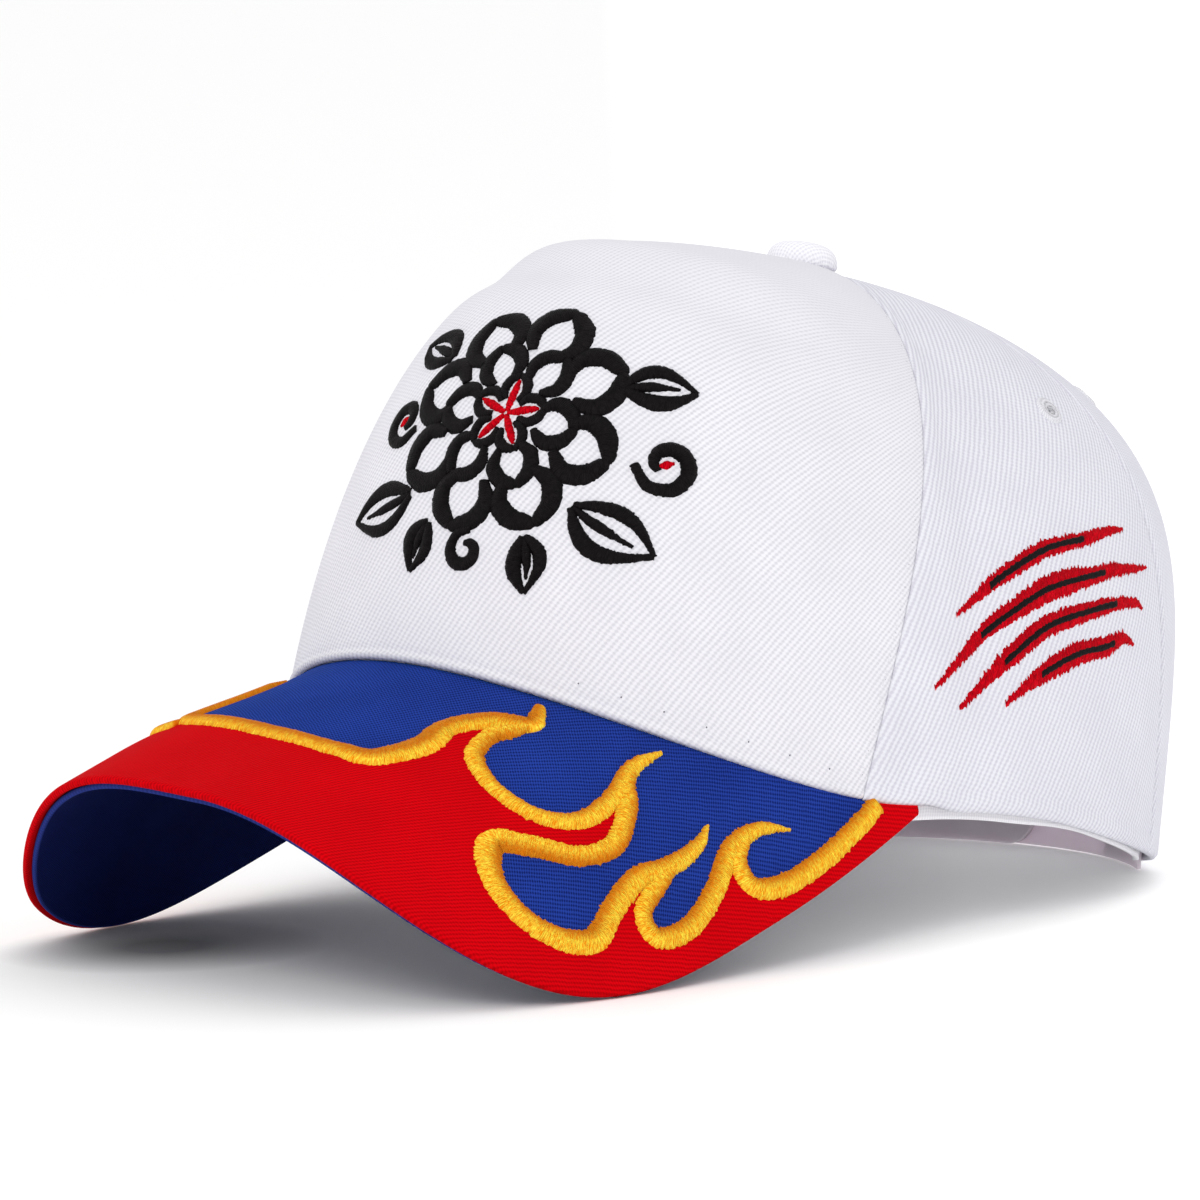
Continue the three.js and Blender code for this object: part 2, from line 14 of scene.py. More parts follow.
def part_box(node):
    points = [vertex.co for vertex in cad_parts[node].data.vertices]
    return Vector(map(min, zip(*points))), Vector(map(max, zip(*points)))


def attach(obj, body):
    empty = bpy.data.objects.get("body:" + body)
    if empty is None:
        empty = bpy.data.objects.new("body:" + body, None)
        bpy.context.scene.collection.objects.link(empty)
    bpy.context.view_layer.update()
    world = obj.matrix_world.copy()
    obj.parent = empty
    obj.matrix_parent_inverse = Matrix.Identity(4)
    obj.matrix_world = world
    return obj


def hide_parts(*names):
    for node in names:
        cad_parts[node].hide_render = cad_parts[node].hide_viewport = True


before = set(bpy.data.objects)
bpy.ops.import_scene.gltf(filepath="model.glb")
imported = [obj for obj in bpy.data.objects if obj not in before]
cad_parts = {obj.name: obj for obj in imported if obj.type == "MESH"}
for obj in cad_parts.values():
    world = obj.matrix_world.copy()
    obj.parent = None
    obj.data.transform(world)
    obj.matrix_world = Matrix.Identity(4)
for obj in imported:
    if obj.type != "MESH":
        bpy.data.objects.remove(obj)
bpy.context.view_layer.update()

MM = 0.001

# Ground plan, rise and rim of the crown, as in the solids
HALF_WIDTH = 84.2
FRONT_REACH = 97
BACK_REACH = 98
PLAN_POWER = 2.19
APEX_HEIGHT = 135.5
APEX_BACK = 27.7
ROOF_FALL = 0.24
RISE_FRONT = np.array([4.7, 1.6, 0])
RISE_SIDE = np.array([1.98, 2.55, 0.137])
RISE_BACK = np.array([1.91, 4.95, 0.005])
RISE_BLEND = 1.5
JOIN_ANGLE = 74.6
EAR_ANGLE = 108
EAR_HEIGHT = 18.6
LANDING_ANGLE = 160
JOIN_STEEPNESS = 0.4
EAR_SLOPE = -0.45
LANDING_SLOPE = -0.12

# Peak
PEAK_HEIGHT = 61.7
PEAK_SLOPE = 0.324
PEAK_RADIUS = 87.6
PEAK_HALF_WIDTH = 83.65
PEAK_REACH = 93
PEAK_SHOULDER = -64.1
PEAK_POWER = 3.75
PEAK_COVER = 1.8
PEAK_LINING = 1.3
PEAK_TUCK = 1
LINING_INSET = 0.8
EDGE_ROUND = 1.1
SWELL = {"height": 6.1, "round": -45.5, "inner": 50.5, "outer": 41, "from": -89, "to": -138.5}

# Seams: angle at the rim, swing by the apex and bend between
FRONT_SEAM = (65.3, 14, 11)
BACK_SEAM = (132, 0, 0)
MIDDLE_SEAM = (180, 0, 0)
CLOTH = 1.8
GAP = 0.3
FOOT_GAP = 0.45
SEAM_GAP = 0.06
CROWN_EYE = 3.6
SIDE_MIDDLE = 98
BACK_MIDDLE = 156

# Low relief of the stiff front and the side panels
CREST = {
    "height": 1.2, "share": 0.65, "spread": 0.035, "hollow": 1.3, "hollow_share": 0.575, "angle": 58,
}
FURROW = {"depth": 1.5, "angle": 84, "spread": 5, "share": 0.3, "reach": 0.26}

# Opening in the back, sweatband and strap
CORNER_ANGLE = 164
ARCH_HEIGHT = 51
TAPE = {
    "depth": 4.1, "thickness": 1.2, "height": 30, "end": 146, "front_drop": 4, "front_fade": 24,
    "side_drop": 1.7, "side_end": 114, "side_fade": 20,
}
STRAP = {"height": 15, "thickness": 1.2, "lift": 0.05, "outer_depth": 2.4, "inner_depth": 4}
STRAP_STEP = {"start": 209, "end": 203}
OUTER_HALF = (150, 201)
INNER_HALF = (210, 179)
HOLES = {"count": 7, "pitch": 8, "radius": 1.9, "last": 194}
PEGS = {"radius": 1.4, "height": 1.7, "count": 3}
BUTTON = {"radius": 7.8, "height": 5.6, "shank": 2.9, "shank_depth": 3.2}
EYELET = {
    "radius": 3.5, "hole": 0.6, "proud": 0.5, "star": 0.35, "ridge": 0.22, "drilled": 1.5,
    "drill_depth": 12,
}
EYELETS = {"side": (116.7, 0.589), "back": (154, 0.6)}

# The crown's axis in the frame, from the front of the peak
CROWN_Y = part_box("peak_top")[0].y / MM + PEAK_REACH - PEAK_SHOULDER

HANDS = ((1, "left"), (-1, "right"))
seeded = np.random.default_rng(7)


# The crown's surface

def lerp(a, b, part):
    return a + (b - a) * part


def smoothstep(value, low, high):
    part = np.clip((value - low) / (high - low), 0, 1)
    return part * part * (3 - 2 * part)


def bump(value, centre, spread):
    return np.exp(-(((value - centre) / spread) ** 2))


def unit(vectors):
    return vectors / np.maximum(np.linalg.norm(vectors, axis=-1, keepdims=True), 1e-9)


def running_length(points, axis=0):
    """Length along rows or columns of points, from 0 at their start."""
    steps = np.linalg.norm(np.diff(points, axis=axis), axis=-1)
    start = [(1, 0) if i == axis else (0, 0) for i in range(steps.ndim)]
    return np.pad(np.cumsum(steps, axis=axis), start)


def signed(angle):
    return (np.asarray(angle, float) + 180) % 360 - 180


def rim_plan(angle):
    across, along = np.sin(np.radians(angle)), np.cos(np.radians(angle))
    reach = np.where(along > 0, FRONT_REACH, BACK_REACH)
    total = np.abs(across / HALF_WIDTH) ** PLAN_POWER + np.abs(along / reach) ** PLAN_POWER
    radius = total ** (-1 / PLAN_POWER)
    return radius * across, -radius * along


def peak_swell(x, y):
    """How far the peak's face is raised where it is bent flatter."""
    past = PEAK_RADIUS * np.arcsin(np.clip(x / PEAK_RADIUS, -1, 1)) - SWELL["round"]
    reach = np.where(past > 0, SWELL["inner"], SWELL["outer"])
    across = np.cos(math.pi / 2 * np.clip(past / reach, -1, 1)) ** 2
    return SWELL["height"] * across * smoothstep(SWELL["from"] - y, 0, SWELL["from"] - SWELL["to"])


def peak_face(x, y):
    sag = PEAK_RADIUS - np.sqrt(np.maximum(PEAK_RADIUS**2 - x * x, 1))
    return PEAK_HEIGHT + PEAK_SLOPE * (y + FRONT_REACH) - sag + peak_swell(x, y)


def eased_height(part, run, start, end, start_slope, end_slope):
    square, cube = part**2, part**3
    rising = (2 * cube - 3 * square + 1) * start + (cube - 2 * square + part) * run * start_slope
    return rising + (3 * square - 2 * cube) * end + (cube - square) * run * end_slope


def rim_height(angle):
    side = np.abs(signed(angle))
    step = 0.05
    join = float(peak_face(*rim_plan(JOIN_ANGLE)))
    join_slope = (join - float(peak_face(*rim_plan(JOIN_ANGLE - step)))) / step
    near, far = EAR_ANGLE - JOIN_ANGLE, LANDING_ANGLE - EAR_ANGLE
    part, start_slope = (side - JOIN_ANGLE) / near, JOIN_STEEPNESS * join_slope
    falling = eased_height(part, near, join, EAR_HEIGHT, start_slope, EAR_SLOPE)
    landing = eased_height((side - EAR_ANGLE) / far, far, EAR_HEIGHT, 0, EAR_SLOPE, LANDING_SLOPE)
    height = np.where(side < EAR_ANGLE, falling, np.where(side < LANDING_ANGLE, landing, 0))
    return np.where(side <= JOIN_ANGLE, peak_face(*rim_plan(side)), height)


# Steps of the crown's tables, and the share above which its normal stays the same
ANGLE_STEP = 0.5
SHARE_STEPS = 200
LINE_STEPS = 320
NORMAL_TOP = 0.985


def crown_table():
    """Points of the plain crown on a grid of angles and shares, and the cloth's length at each angle."""
    angles = np.arange(0, 360, ANGLE_STEP)
    along = np.cos(np.radians(angles))
    ends = np.where(along[:, None] > 0, RISE_FRONT, RISE_BACK)
    wall, roof, lean = lerp(RISE_SIDE, ends, np.abs(along[:, None]) ** RISE_BLEND).T[:, :, None]
    part = np.linspace(0, 1, LINE_STEPS + 1)[None, :]
    turn = math.pi / 2 * (1 - (1 - part ** (roof / 2)) ** (wall / 2))
    inward = np.cos(turn).clip(0) ** (2 / wall)
    upward = np.sin(turn) ** (2 / roof)
    rim_x, rim_y = rim_plan(angles[:, None])
    rim_z = rim_height(angles[:, None])
    scale = inward * (1 - lean * upward)
    y = rim_y * scale + APEX_BACK * upward
    top = APEX_HEIGHT + ROOF_FALL * (APEX_BACK - y)
    lines = np.stack([rim_x * scale, y, rim_z + (top - rim_z) * upward], -1)
    lengths = running_length(lines, 1)
    shares = np.linspace(0, 1, SHARE_STEPS + 1)
    table = [
        [np.interp(shares * length[-1], length, line[:, k]) for k in range(3)]
        for line, length in zip(lines, lengths)
    ]
    return np.array(table).transpose(0, 2, 1), lengths[:, -1]


def spline_weights(part):
    square, cube = part**2, part**3
    return [
        (-part + 2 * square - cube) / 2,
        (2 - 5 * square + 3 * cube) / 2,
        (part + 4 * square - 3 * cube) / 2,
        (cube - square) / 2,
    ]


def look_up(table, angle, share):
    """A smooth value between the table's grid points, with the angles going round."""
    angle, share = np.broadcast_arrays(np.asarray(angle, float), np.asarray(share, float))
    column = (angle % 360) / ANGLE_STEP
    row = np.clip(share, 0, 1) * SHARE_STEPS
    column_at = np.floor(column).astype(int)
    row_at = np.minimum(np.floor(row).astype(int), SHARE_STEPS - 1)
    total = 0
    for i, across in enumerate(spline_weights(column - column_at)):
        for j, up in enumerate(spline_weights(row - row_at)):
            rows = np.clip(row_at + j - 1, 0, SHARE_STEPS)
            total = total + (across * up)[..., None] * table[(column_at + i - 1) % len(table), rows]
    return total


PLAIN, LENGTHS = crown_table()


def normal_table():
    angles = np.arange(0, 360, ANGLE_STEP)[:, None]
    shares = np.minimum(np.linspace(0, 1, SHARE_STEPS + 1), NORMAL_TOP)[None, :]
    turn, climb = 1.2, 0.01
    round_ = look_up(PLAIN, angles + turn, shares) - look_up(PLAIN, angles - turn, shares)
    up = look_up(PLAIN, angles, shares + climb) - look_up(PLAIN, angles, np.maximum(shares - climb, 0))
    return unit(np.cross(round_, up))


OUTWARD = normal_table()


def cloth_length(angle):
    angles = np.arange(len(LENGTHS) + 1) * ANGLE_STEP
    return np.interp(np.asarray(angle, float) % 360, angles, np.append(LENGTHS, LENGTHS[0]))


def outward(angle, share):
    return unit(look_up(OUTWARD, angle, share))


def relief(angle, share):
    side = np.abs(signed(angle))
    ahead = np.clip(1 - (side / CREST["angle"]) ** 4, 0, 1)
    crest = CREST["height"] * bump(share, CREST["share"], CREST["spread"])
    hollow = CREST["hollow"] * bump(share, CREST["hollow_share"], CREST["spread"])
    furrow = FURROW["depth"] * bump(side, FURROW["angle"], FURROW["spread"])
    return ahead * (crest - hollow) - furrow * bump(share, FURROW["share"], FURROW["reach"])


def crown_point(angle, share, depth=0.0):
    offset = relief(angle, share) - depth
    return look_up(PLAIN, angle, share) + outward(angle, share) * np.asarray(offset)[..., None]


def ring_scale(angle, share):
    """Millimetres of cloth round the crown to a degree."""
    ahead, behind = look_up(PLAIN, angle + 0.5, share), look_up(PLAIN, angle - 0.5, share)
    return np.maximum(np.linalg.norm(ahead - behind, axis=-1), 0.05)


def seam_angle(seam, share):
    rim, swing, bend = seam
    return rim + swing * share + bend * share**2 * (1 - share) * 2


# The peak's surface, by the distance round its curve and the plan y

def peak_normal(round_):
    turn = np.asarray(round_, float) / PEAK_RADIUS
    return unit(np.stack([np.sin(turn), -PEAK_SLOPE * np.cos(turn), np.cos(turn)], -1))


def peak_point(round_, y, depth=0.0):
    round_, y, depth = np.broadcast_arrays(*(np.asarray(v, float) for v in (round_, y, depth)))
    x = PEAK_RADIUS * np.sin(round_ / PEAK_RADIUS)
    return np.stack([x, y, peak_face(x, y)], -1) - peak_normal(round_) * depth[..., None]


def peak_lie(round_, y):
    """Normals of the peak's face with its uneven bend."""
    step = 0.4
    across = peak_point(round_ + step, y) - peak_point(round_ - step, y)
    return unit(np.cross(across, peak_point(round_, y + step) - peak_point(round_, y - step)))


def peak_outline(parts):
    """Half of the peak's outline from the join to the middle of the front, at shares of its length."""
    join_x, join_y = rim_plan(JOIN_ANGLE)
    side = np.linspace(0, 1, 60)
    turn = np.linspace(math.pi / 2, 0, 1200)
    bow = 2 / PEAK_POWER
    side_x = lerp(join_x, PEAK_HALF_WIDTH, 1 - (1 - side) ** 2)
    front_x = PEAK_HALF_WIDTH * np.sin(turn) ** bow
    side_y = lerp(join_y, PEAK_SHOULDER, side)
    front_y = PEAK_SHOULDER - PEAK_REACH * np.cos(turn) ** bow
    x, y = np.append(side_x, front_x), np.append(side_y, front_y)
    length = np.append(0, np.cumsum(np.hypot(np.diff(x), np.diff(y))))
    wanted = parts * length[-1]
    return np.interp(wanted, length, x), np.interp(wanted, length, y)


# Meshes

def new_object(name, points, faces, uv, material):
    mesh = bpy.data.meshes.new(name)
    placed = (points + [0, CROWN_Y, 0]) * MM
    mesh.vertices.add(len(placed))
    mesh.vertices.foreach_set("co", placed.astype(np.float32).ravel())
    mesh.loops.add(faces.size)
    mesh.loops.foreach_set("vertex_index", faces.astype(np.int32).ravel())
    mesh.polygons.add(len(faces))
    mesh.polygons.foreach_set("loop_start", np.arange(len(faces), dtype=np.int32) * faces.shape[1])
    mesh.update(calc_edges=True)
    mesh.validate()
    layer = mesh.uv_layers.new(name="cloth")
    corner = np.zeros(len(mesh.loops), np.int32)
    mesh.loops.foreach_get("vertex_index", corner)
    layer.data.foreach_set("uv", uv.astype(np.float32)[corner].ravel())
    mesh.polygons.foreach_set("use_smooth", np.ones(len(mesh.polygons), bool))
    obj = bpy.data.objects.new(name, mesh)
    bpy.context.scene.collection.objects.link(obj)
    mesh.materials.append(material)
    return obj


def add_piece(name, mesh, material, nodes=(), rework=None):
    """A piece from its points, faces and cloth distances, reworked before it joins the frame."""
    obj = new_object(name, *mesh, material)
    if rework:
        rework(obj)
    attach(obj, "root")
    if nodes:
        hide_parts(*nodes)


def merge_doubles(obj):
    work = bmesh.new()
    work.from_mesh(obj.data)
    bmesh.ops.remove_doubles(work, verts=work.verts, dist=1e-6)
    bmesh.ops.dissolve_degenerate(work, edges=work.edges, dist=1e-7)
    bmesh.ops.recalc_face_normals(work, faces=work.faces)
    work.to_mesh(obj.data)
    work.free()
    obj.data.update()


def combine(obj, tool, operation):
    """Adds a tool's shape to a piece or cuts it out, and removes the tool."""
    modifier = obj.modifiers.new("combine", "BOOLEAN")
    modifier.operation = operation
    modifier.solver = "EXACT"
    modifier.object = tool
    graph = bpy.context.evaluated_depsgraph_get()
    made = bpy.data.meshes.new_from_object(obj.evaluated_get(graph))
    obj.modifiers.clear()
    obj.data = made
    bpy.data.objects.remove(tool)


def grid_faces(rows, columns):
    """Four-sided faces between a grid of points, by row and column."""
    index = np.arange(rows * columns).reshape(rows, columns)
    return np.stack([index[:-1, :-1], index[:-1, 1:], index[1:, 1:], index[1:, :-1]], -1)


def slab(outer, inner, cells=None, ring=False):
    """A closed sheet between two grids of points, rows by columns, over the cells that are kept.
    The first and last columns of a ring are the same place."""
    quads = grid_faces(*outer.shape[:2])
    layer = outer.shape[0] * outer.shape[1]
    near_left, near_right, far_right, far_left = np.moveaxis(quads, -1, 0)
    if cells is None:
        cells = np.ones(near_left.shape, bool)
    faces = [quads[cells], quads[..., [0, 3, 2, 1]][cells] + layer]
    padded = np.pad(cells, 1)
    if ring:
        padded[1:-1, 0], padded[1:-1, -1] = cells[:, -1], cells[:, 0]
    borders = [
        (padded[:-2, 1:-1], near_left, near_right),
        (padded[2:, 1:-1], far_right, far_left),
        (padded[1:-1, :-2], far_left, near_left),
        (padded[1:-1, 2:], near_right, far_right),
    ]
    for neighbour, start, end in borders:
        edge = cells & ~neighbour
        faces.append(np.stack([start, start + layer, end + layer, end], -1)[edge])
    return np.concatenate([outer.reshape(-1, 3), inner.reshape(-1, 3)]), np.concatenate(faces)


def joined(parts):
    """One mesh from several lists of points, faces and cloth distances."""
    points, faces, uv = zip(*parts)
    starts = np.cumsum([0] + [len(part) for part in points[:-1]])
    faces = [part + start for part, start in zip(faces, starts)]
    return np.concatenate(points), np.concatenate(faces), np.concatenate(uv)


def used_only(points, faces, uv):
    used, faces = np.unique(faces, return_inverse=True)
    return points[used], faces.reshape(-1, 4), uv[used]


def face_uv(across, up):
    return np.stack(np.broadcast_arrays(across, up), -1).reshape(-1, 2)


def both_faces(across, up):
    return np.tile(face_uv(across, up), (2, 1))


def grid_uv(outer, middle):
    """Millimetres of cloth across each row from the middle column, and up each column."""
    across = running_length(outer, 1)
    return both_faces(across - across[:, middle:middle + 1], running_length(outer))


def cloth_uv(angle, share, middle):
    """Millimetres of a panel's cloth, across from its middle angle and up from the rim."""
    across = (angle - middle) * ring_scale((angle + middle) / 2, share)
    return both_faces(across, share * cloth_length(middle))


def crowded(count, amount):
    """Steps from 0 to 1 that lie closer together at both ends."""
    plain = np.linspace(0, 1, count + 1)
    return lerp(plain, (1 - np.cos(math.pi * plain)) / 2, amount)


def toward_edge(count, amount):
    """Steps from 0 to 1 that lie closer together towards 1."""
    plain = np.linspace(0, 1, count + 1)
    return lerp(plain, 1 - (1 - plain) ** 2, amount)


# Materials

class Shader:
    """A material whose nodes are made by short calls."""

    def __init__(self, name):
        self.material = bpy.data.materials.new(name)
        self.material.use_nodes = True
        self.nodes = self.material.node_tree.nodes
        self.surface = self.nodes["Principled BSDF"]

    def node(self, kind, inputs, **settings):
        made = self.nodes.new("ShaderNode" + kind)
        for key, value in settings.items():
            setattr(made, key, value)
        for key, value in inputs.items():
            self.set(made.inputs[key], value)
        return made

    def set(self, socket, value):
        if isinstance(value, bpy.types.NodeSocket):
            self.material.node_tree.links.new(value, socket)
        else:
            socket.default_value = value

    def calc(self, operation, *values):
        return self.node("Math", dict(enumerate(values)), operation=operation).outputs[0]

    def plus(self, first, second):
        return self.calc("ADD", first, second)

    def minus(self, first, second):
        return self.calc("SUBTRACT", first, second)

    def times(self, first, second):
        return self.calc("MULTIPLY", first, second)

    def times_plus(self, first, second, added):
        return self.calc("MULTIPLY_ADD", first, second, added)

    def ramp(self, value, low, high, start=0.0, end=1.0):
        """Runs from start to end while the value goes from low to high."""
        limits = {"From Min": low, "From Max": high, "To Min": start, "To Max": end}
        return self.node("MapRange", {"Value": value, **limits}).outputs[0]

    def noise(self, scale, detail, where):
        return self.node("TexNoise", {"Scale": scale, "Detail": detail, "Vector": where}).outputs[0]

    def cloth(self):
        """The place in the cloth, and its distances across and up in millimetres."""
        uv = self.node("UVMap", {}, uv_map="cloth").outputs[0]
        split = self.node("SeparateXYZ", {"Vector": uv})
        return uv, split.outputs[0], split.outputs[1]

    def ridges(self, across, up, pitch, direction):
        """A wave from 0 to 1 whose ridges run in a direction, in degrees from across."""
        turn, rate = math.radians(direction), 2 * math.pi / pitch
        x, y = self.times(across, -math.sin(turn) * rate), self.times(up, math.cos(turn) * rate)
        return self.times_plus(self.calc("SINE", self.plus(x, y)), 0.5, 0.5)

    def mix(self, factor, first, second):
        return self.node("Mix", {"Factor": factor, 6: first, 7: second}, data_type="RGBA").outputs[2]

    def raise_by(self, height, millimetres):
        made = self.node("Bump", {"Height": height, "Distance": millimetres * MM})
        self.set(self.surface.inputs["Normal"], made.outputs[0])

    def look(self, colour, roughness, **more):
        for key, value in {"base_color": colour, "roughness": roughness, **more}.items():
            self.set(self.surface.inputs[key.replace("_", " ").title().replace("Ior", "IOR")], value)
        return self.material


def linear(red, green, blue):
    """A colour given by its 0 to 255 values on a screen."""
    shares = np.array([red, green, blue]) / 255
    straight = np.where(shares <= 0.04045, shares / 12.92, ((shares + 0.055) / 1.055) ** 2.4)
    return (*straight.tolist(), 1.0)


# The threads' wander in millimetres, the shares of loose fibres, cloudy patches, ridges and dark pores
# in a weave's shade, and the scales of their noise. Above a height the weave's relief and contrast
# fade over a further height to a share of themselves, round the middle shade
WEAVE = {
    "wander": 0.6, "wander_scale": 0.35, "fibre": 0.4, "fibre_scale": 2.2, "patch": 0.5,
    "patch_scale": 0.06, "ridge": 0.55, "pore": 0.9, "pore_edge": 3,
}
WEAVE_FADE = {"over": 45, "left": 0.35, "middle": 0.42}
CLOTH_ROUGHNESS = 0.9
FUZZ = 0.14


def twill(name, light, dark, ridge, cross, height, cross_share=0.4, gloss=0.1, fuzz=None,
          fade_from=None):
    """Twill with ridges of floats, each broken where the cross threads pass.
    ridge and cross are each a pitch in millimetres and a direction in degrees. fuzz is the colour
    of the loose fibres that catch the light. Above fade_from, in millimetres up the cloth, the
    weave's relief and the contrast of its shade fade."""
    shader = Shader(name)
    uv, across, up = shader.cloth()
    wander = shader.times(shader.noise(WEAVE["wander_scale"], 2, uv), WEAVE["wander"])
    floats = shader.ridges(shader.plus(across, wander), up, *ridge)
    thread = shader.ridges(across, shader.plus(up, wander), *cross)
    weave = shader.times_plus(thread, cross_share, shader.times(floats, 1 - cross_share))
    raised = shader.times_plus(shader.noise(WEAVE["fibre_scale"], 3, uv), WEAVE["fibre"], weave)
    pores = shader.calc("POWER", shader.minus(1, weave), WEAVE["pore_edge"])
    ridges = shader.times(raised, WEAVE["ridge"])
    cloudy = shader.times_plus(shader.noise(WEAVE["patch_scale"], 3, uv), WEAVE["patch"], ridges)
    shade = shader.minus(cloudy, shader.times(pores, WEAVE["pore"]))
    if fade_from is not None:
        crisp = shader.ramp(up, fade_from, fade_from + WEAVE_FADE["over"], 1.0, WEAVE_FADE["left"])
        shade = shader.times_plus(shader.minus(shade, WEAVE_FADE["middle"]), crisp, WEAVE_FADE["middle"])
        raised = shader.times(raised, crisp)
    shader.raise_by(raised, height)
    colour = shader.mix(shade, linear(*dark), linear(*light))
    sheen = {"sheen_weight": FUZZ, "sheen_tint": fuzz} if fuzz else {}
    return shader.look(colour, CLOTH_ROUGHNESS, specular_ior_level=gloss, **sheen)


# Shares of the fibres, their glints and each thread's roundness in satin's tone, how long its streaks
# are drawn, their scales and contrast, and where over the stitches the painted shade comes in. The
# tone is partly fibre texture and partly painted glints and painted shade on the round threads
SATIN = {
    "fibre": 0.4, "glint": 0.45, "thread": 0.25, "stretch": 0.25, "scales": (2.0, 4.2),
    "contrast": (0.43, 0.57), "relief": 0.9, "painted_shade": (-0.2, 1.7),
}


def satin(name, light, dark, painted_shade, pitch, roughness, gloss, painted_shade_share=0.65):
    """Closely laid threads. Across runs along the path of the stitches and up runs over them, from
    the right of the path to its left, where the painted shade is: the colour of the pad's side that
    turns from the light, mixed in by painted_shade_share."""
    shader = Shader(name)
    along, over = shader.cloth()[1:]
    laid = shader.node("CombineXYZ", {"X": along, "Y": shader.times(over, SATIN["stretch"])}).outputs[0]
    streaks = [shader.noise(scale, 2, laid) for scale in SATIN["scales"]]
    # The streaks stand for fibre texture and for painted glints where the threads catch the light
    fibre, glint = (shader.ramp(streak, *SATIN["contrast"]) for streak in streaks)
    thread = shader.ridges(along, over, pitch, 90)
    sheen = shader.times_plus(fibre, SATIN["fibre"], shader.times(glint, SATIN["glint"]))
    shade = shader.times_plus(thread, SATIN["thread"], shader.minus(sheen, 0.05))
    # Painted shade: towards the path's left the colour is mixed towards the darker painted shade colour
    left = shader.ramp(over, *SATIN["painted_shade"])
    plain = shader.mix(shade, linear(*dark), linear(*light))
    colour = shader.mix(left, plain, shader.mix(painted_shade_share, plain, linear(*painted_shade)))
    shader.raise_by(shader.times_plus(glint, SATIN["relief"], thread), 0.1)
    return shader.look(colour, roughness, specular_ior_level=gloss)


def thread_finish(name, light):
    shader = Shader(name)
    light = linear(*light)
    pitch, direction, darker = 0.5, 60, 0.8
    twist = shader.ridges(*shader.cloth()[1:], pitch, direction)
    shader.raise_by(twist, 0.06)
    dark = [part * darker for part in light[:3]] + [1]
    return shader.look(shader.mix(twist, dark, light), 0.7)


def plastic_finish(name):
    shader = Shader(name)
    uv = shader.cloth()[0]
    pebble, cloud = shader.noise(2.5, 2, uv), shader.noise(0.12, 3, uv)
    shader.raise_by(pebble, 0.02)
    colour = shader.mix(cloud, linear(222, 206, 218), linear(232, 220, 230))
    depth = {"subsurface_weight": 0.8, "subsurface_scale": 0.003, "subsurface_radius": (1, 1, 1)}
    return shader.look(colour, 0.42, **depth)


WHITE = twill(
    "white_twill", (231, 230, 235), (205, 204, 211), (1.3, 64), (0.84, 165), 0.085, 0.34, fade_from=75,
)
# Side and back panels: a darker copy of the front's white twill, painted shade for panels turned from the
# light
WHITE_SIDE_PAINTED_SHADE = twill(
    "white_twill_side_painted_shade", (226, 226, 233), (200, 199, 209), (1.26, 62), (0.9, 168), 0.085, 0.26,
)
WHITE_BUTTON = twill("white_twill_button", (245, 244, 248), (223, 222, 229), (1.0, 90), (0.9, 0), 0.1)
RED = twill("red_twill", (213, 1, 13), (168, 0, 7), (0.86, 63), (0.62, 10), 0.055, 0.35, 0.03)
BLUE_FUZZ = (0.02, 0.2, 0.7, 1)
BLUE = twill("blue_twill", (36, 63, 157), (12, 26, 89), (0.9, 58), (0.6, 150), 0.06, 0.5, 0.04, BLUE_FUZZ)
NAVY = twill("blue_lining", (20, 34, 98), (8, 14, 52), (0.8, 35), (0.5, 100), 0.06, 0.4, 0.04)
# The lining's outer rows: a lighter copy of its blue, painted light where light reaches in under the
# peak's edge
BLUE_LINING_PAINTED_LIGHT = twill("blue_lining_painted_light", (46, 60, 136), (34, 46, 110), (0.8, 35), (0.5, 100), 0.05, 0.4, 0.04)
TAPE_WHITE = twill("white_tape", (252, 251, 254), (236, 235, 240), (0.7, 90), (0.7, 0), 0.03)
WHITE_THREAD = thread_finish("white_thread", (230, 230, 236))
# Dark grey for the needle holes: painted shade in the holes
NEEDLE_HOLE_PAINTED_SHADE = thread_finish("needle_hole_painted_shade", (96, 96, 108))
# Each satin's third colour is its painted shade, and the mix of its first two carries painted glints
GOLD = satin("gold_satin", (255, 230, 70), (242, 138, 0), (204, 98, 0), 0.42, 0.5, 0.04, 0.8)
BLACK = satin("black_satin", (22, 17, 19), (5, 3, 4), (7, 5, 6), 0.42, 0.45, 0.09)
SCARLET = satin("red_satin", (232, 2, 28), (152, 0, 12), (150, 0, 14), 0.45, 0.5, 0.03, 0.4)
PLASTIC = plastic_finish("strap_plastic")


# Cloth panels

# Stitch lines and needle holes beside the seams and over the hems
FRONT_STITCH = 1.9
BACK_STITCH = 2.4
NEEDLE_LINE = 1.6
FRONT_HEM = 2.3
SIDE_HEM = 4.4
BACK_HEM = 6.5
# Height over which a panel's foot settles to the rim
FOOT_SETTLE = 6
# Degrees behind the peak's join over which a panel's foot comes down from the peak's face
FOOT_FALL = (1.5, 8)


def grooves(distance, *rows):
    """Relief of grooves, each with its distance from the edge, its depth and its width."""
    return -sum(depth * bump(distance, place, width) for place, depth, width in rows)


def edge_over_peak(x, y):
    steepness = PEAK_RADIUS / np.sqrt(np.maximum(PEAK_RADIUS**2 - x * x, 1))
    return peak_face(x, y) + FOOT_GAP * steepness


def panel_foot(angle, depth):
    """Share at which a panel starts: just above the peak, and at the rim behind the join."""
    side = np.abs(angle)
    over = 1 - smoothstep(side, JOIN_ANGLE + FOOT_FALL[0], JOIN_ANGLE + FOOT_FALL[1])
    x, y = rim_plan(np.minimum(side, JOIN_ANGLE))
    inward = 1 - depth / np.hypot(x, y)
    climb = edge_over_peak(x * inward, y * inward) - peak_face(x, y)
    return over * climb / cloth_length(angle)


def eye_scale(angle, share):
    """ring_scale, but no less than at the small opening under the button."""
    return np.maximum(ring_scale(angle, share), CROWN_EYE * math.radians(1))


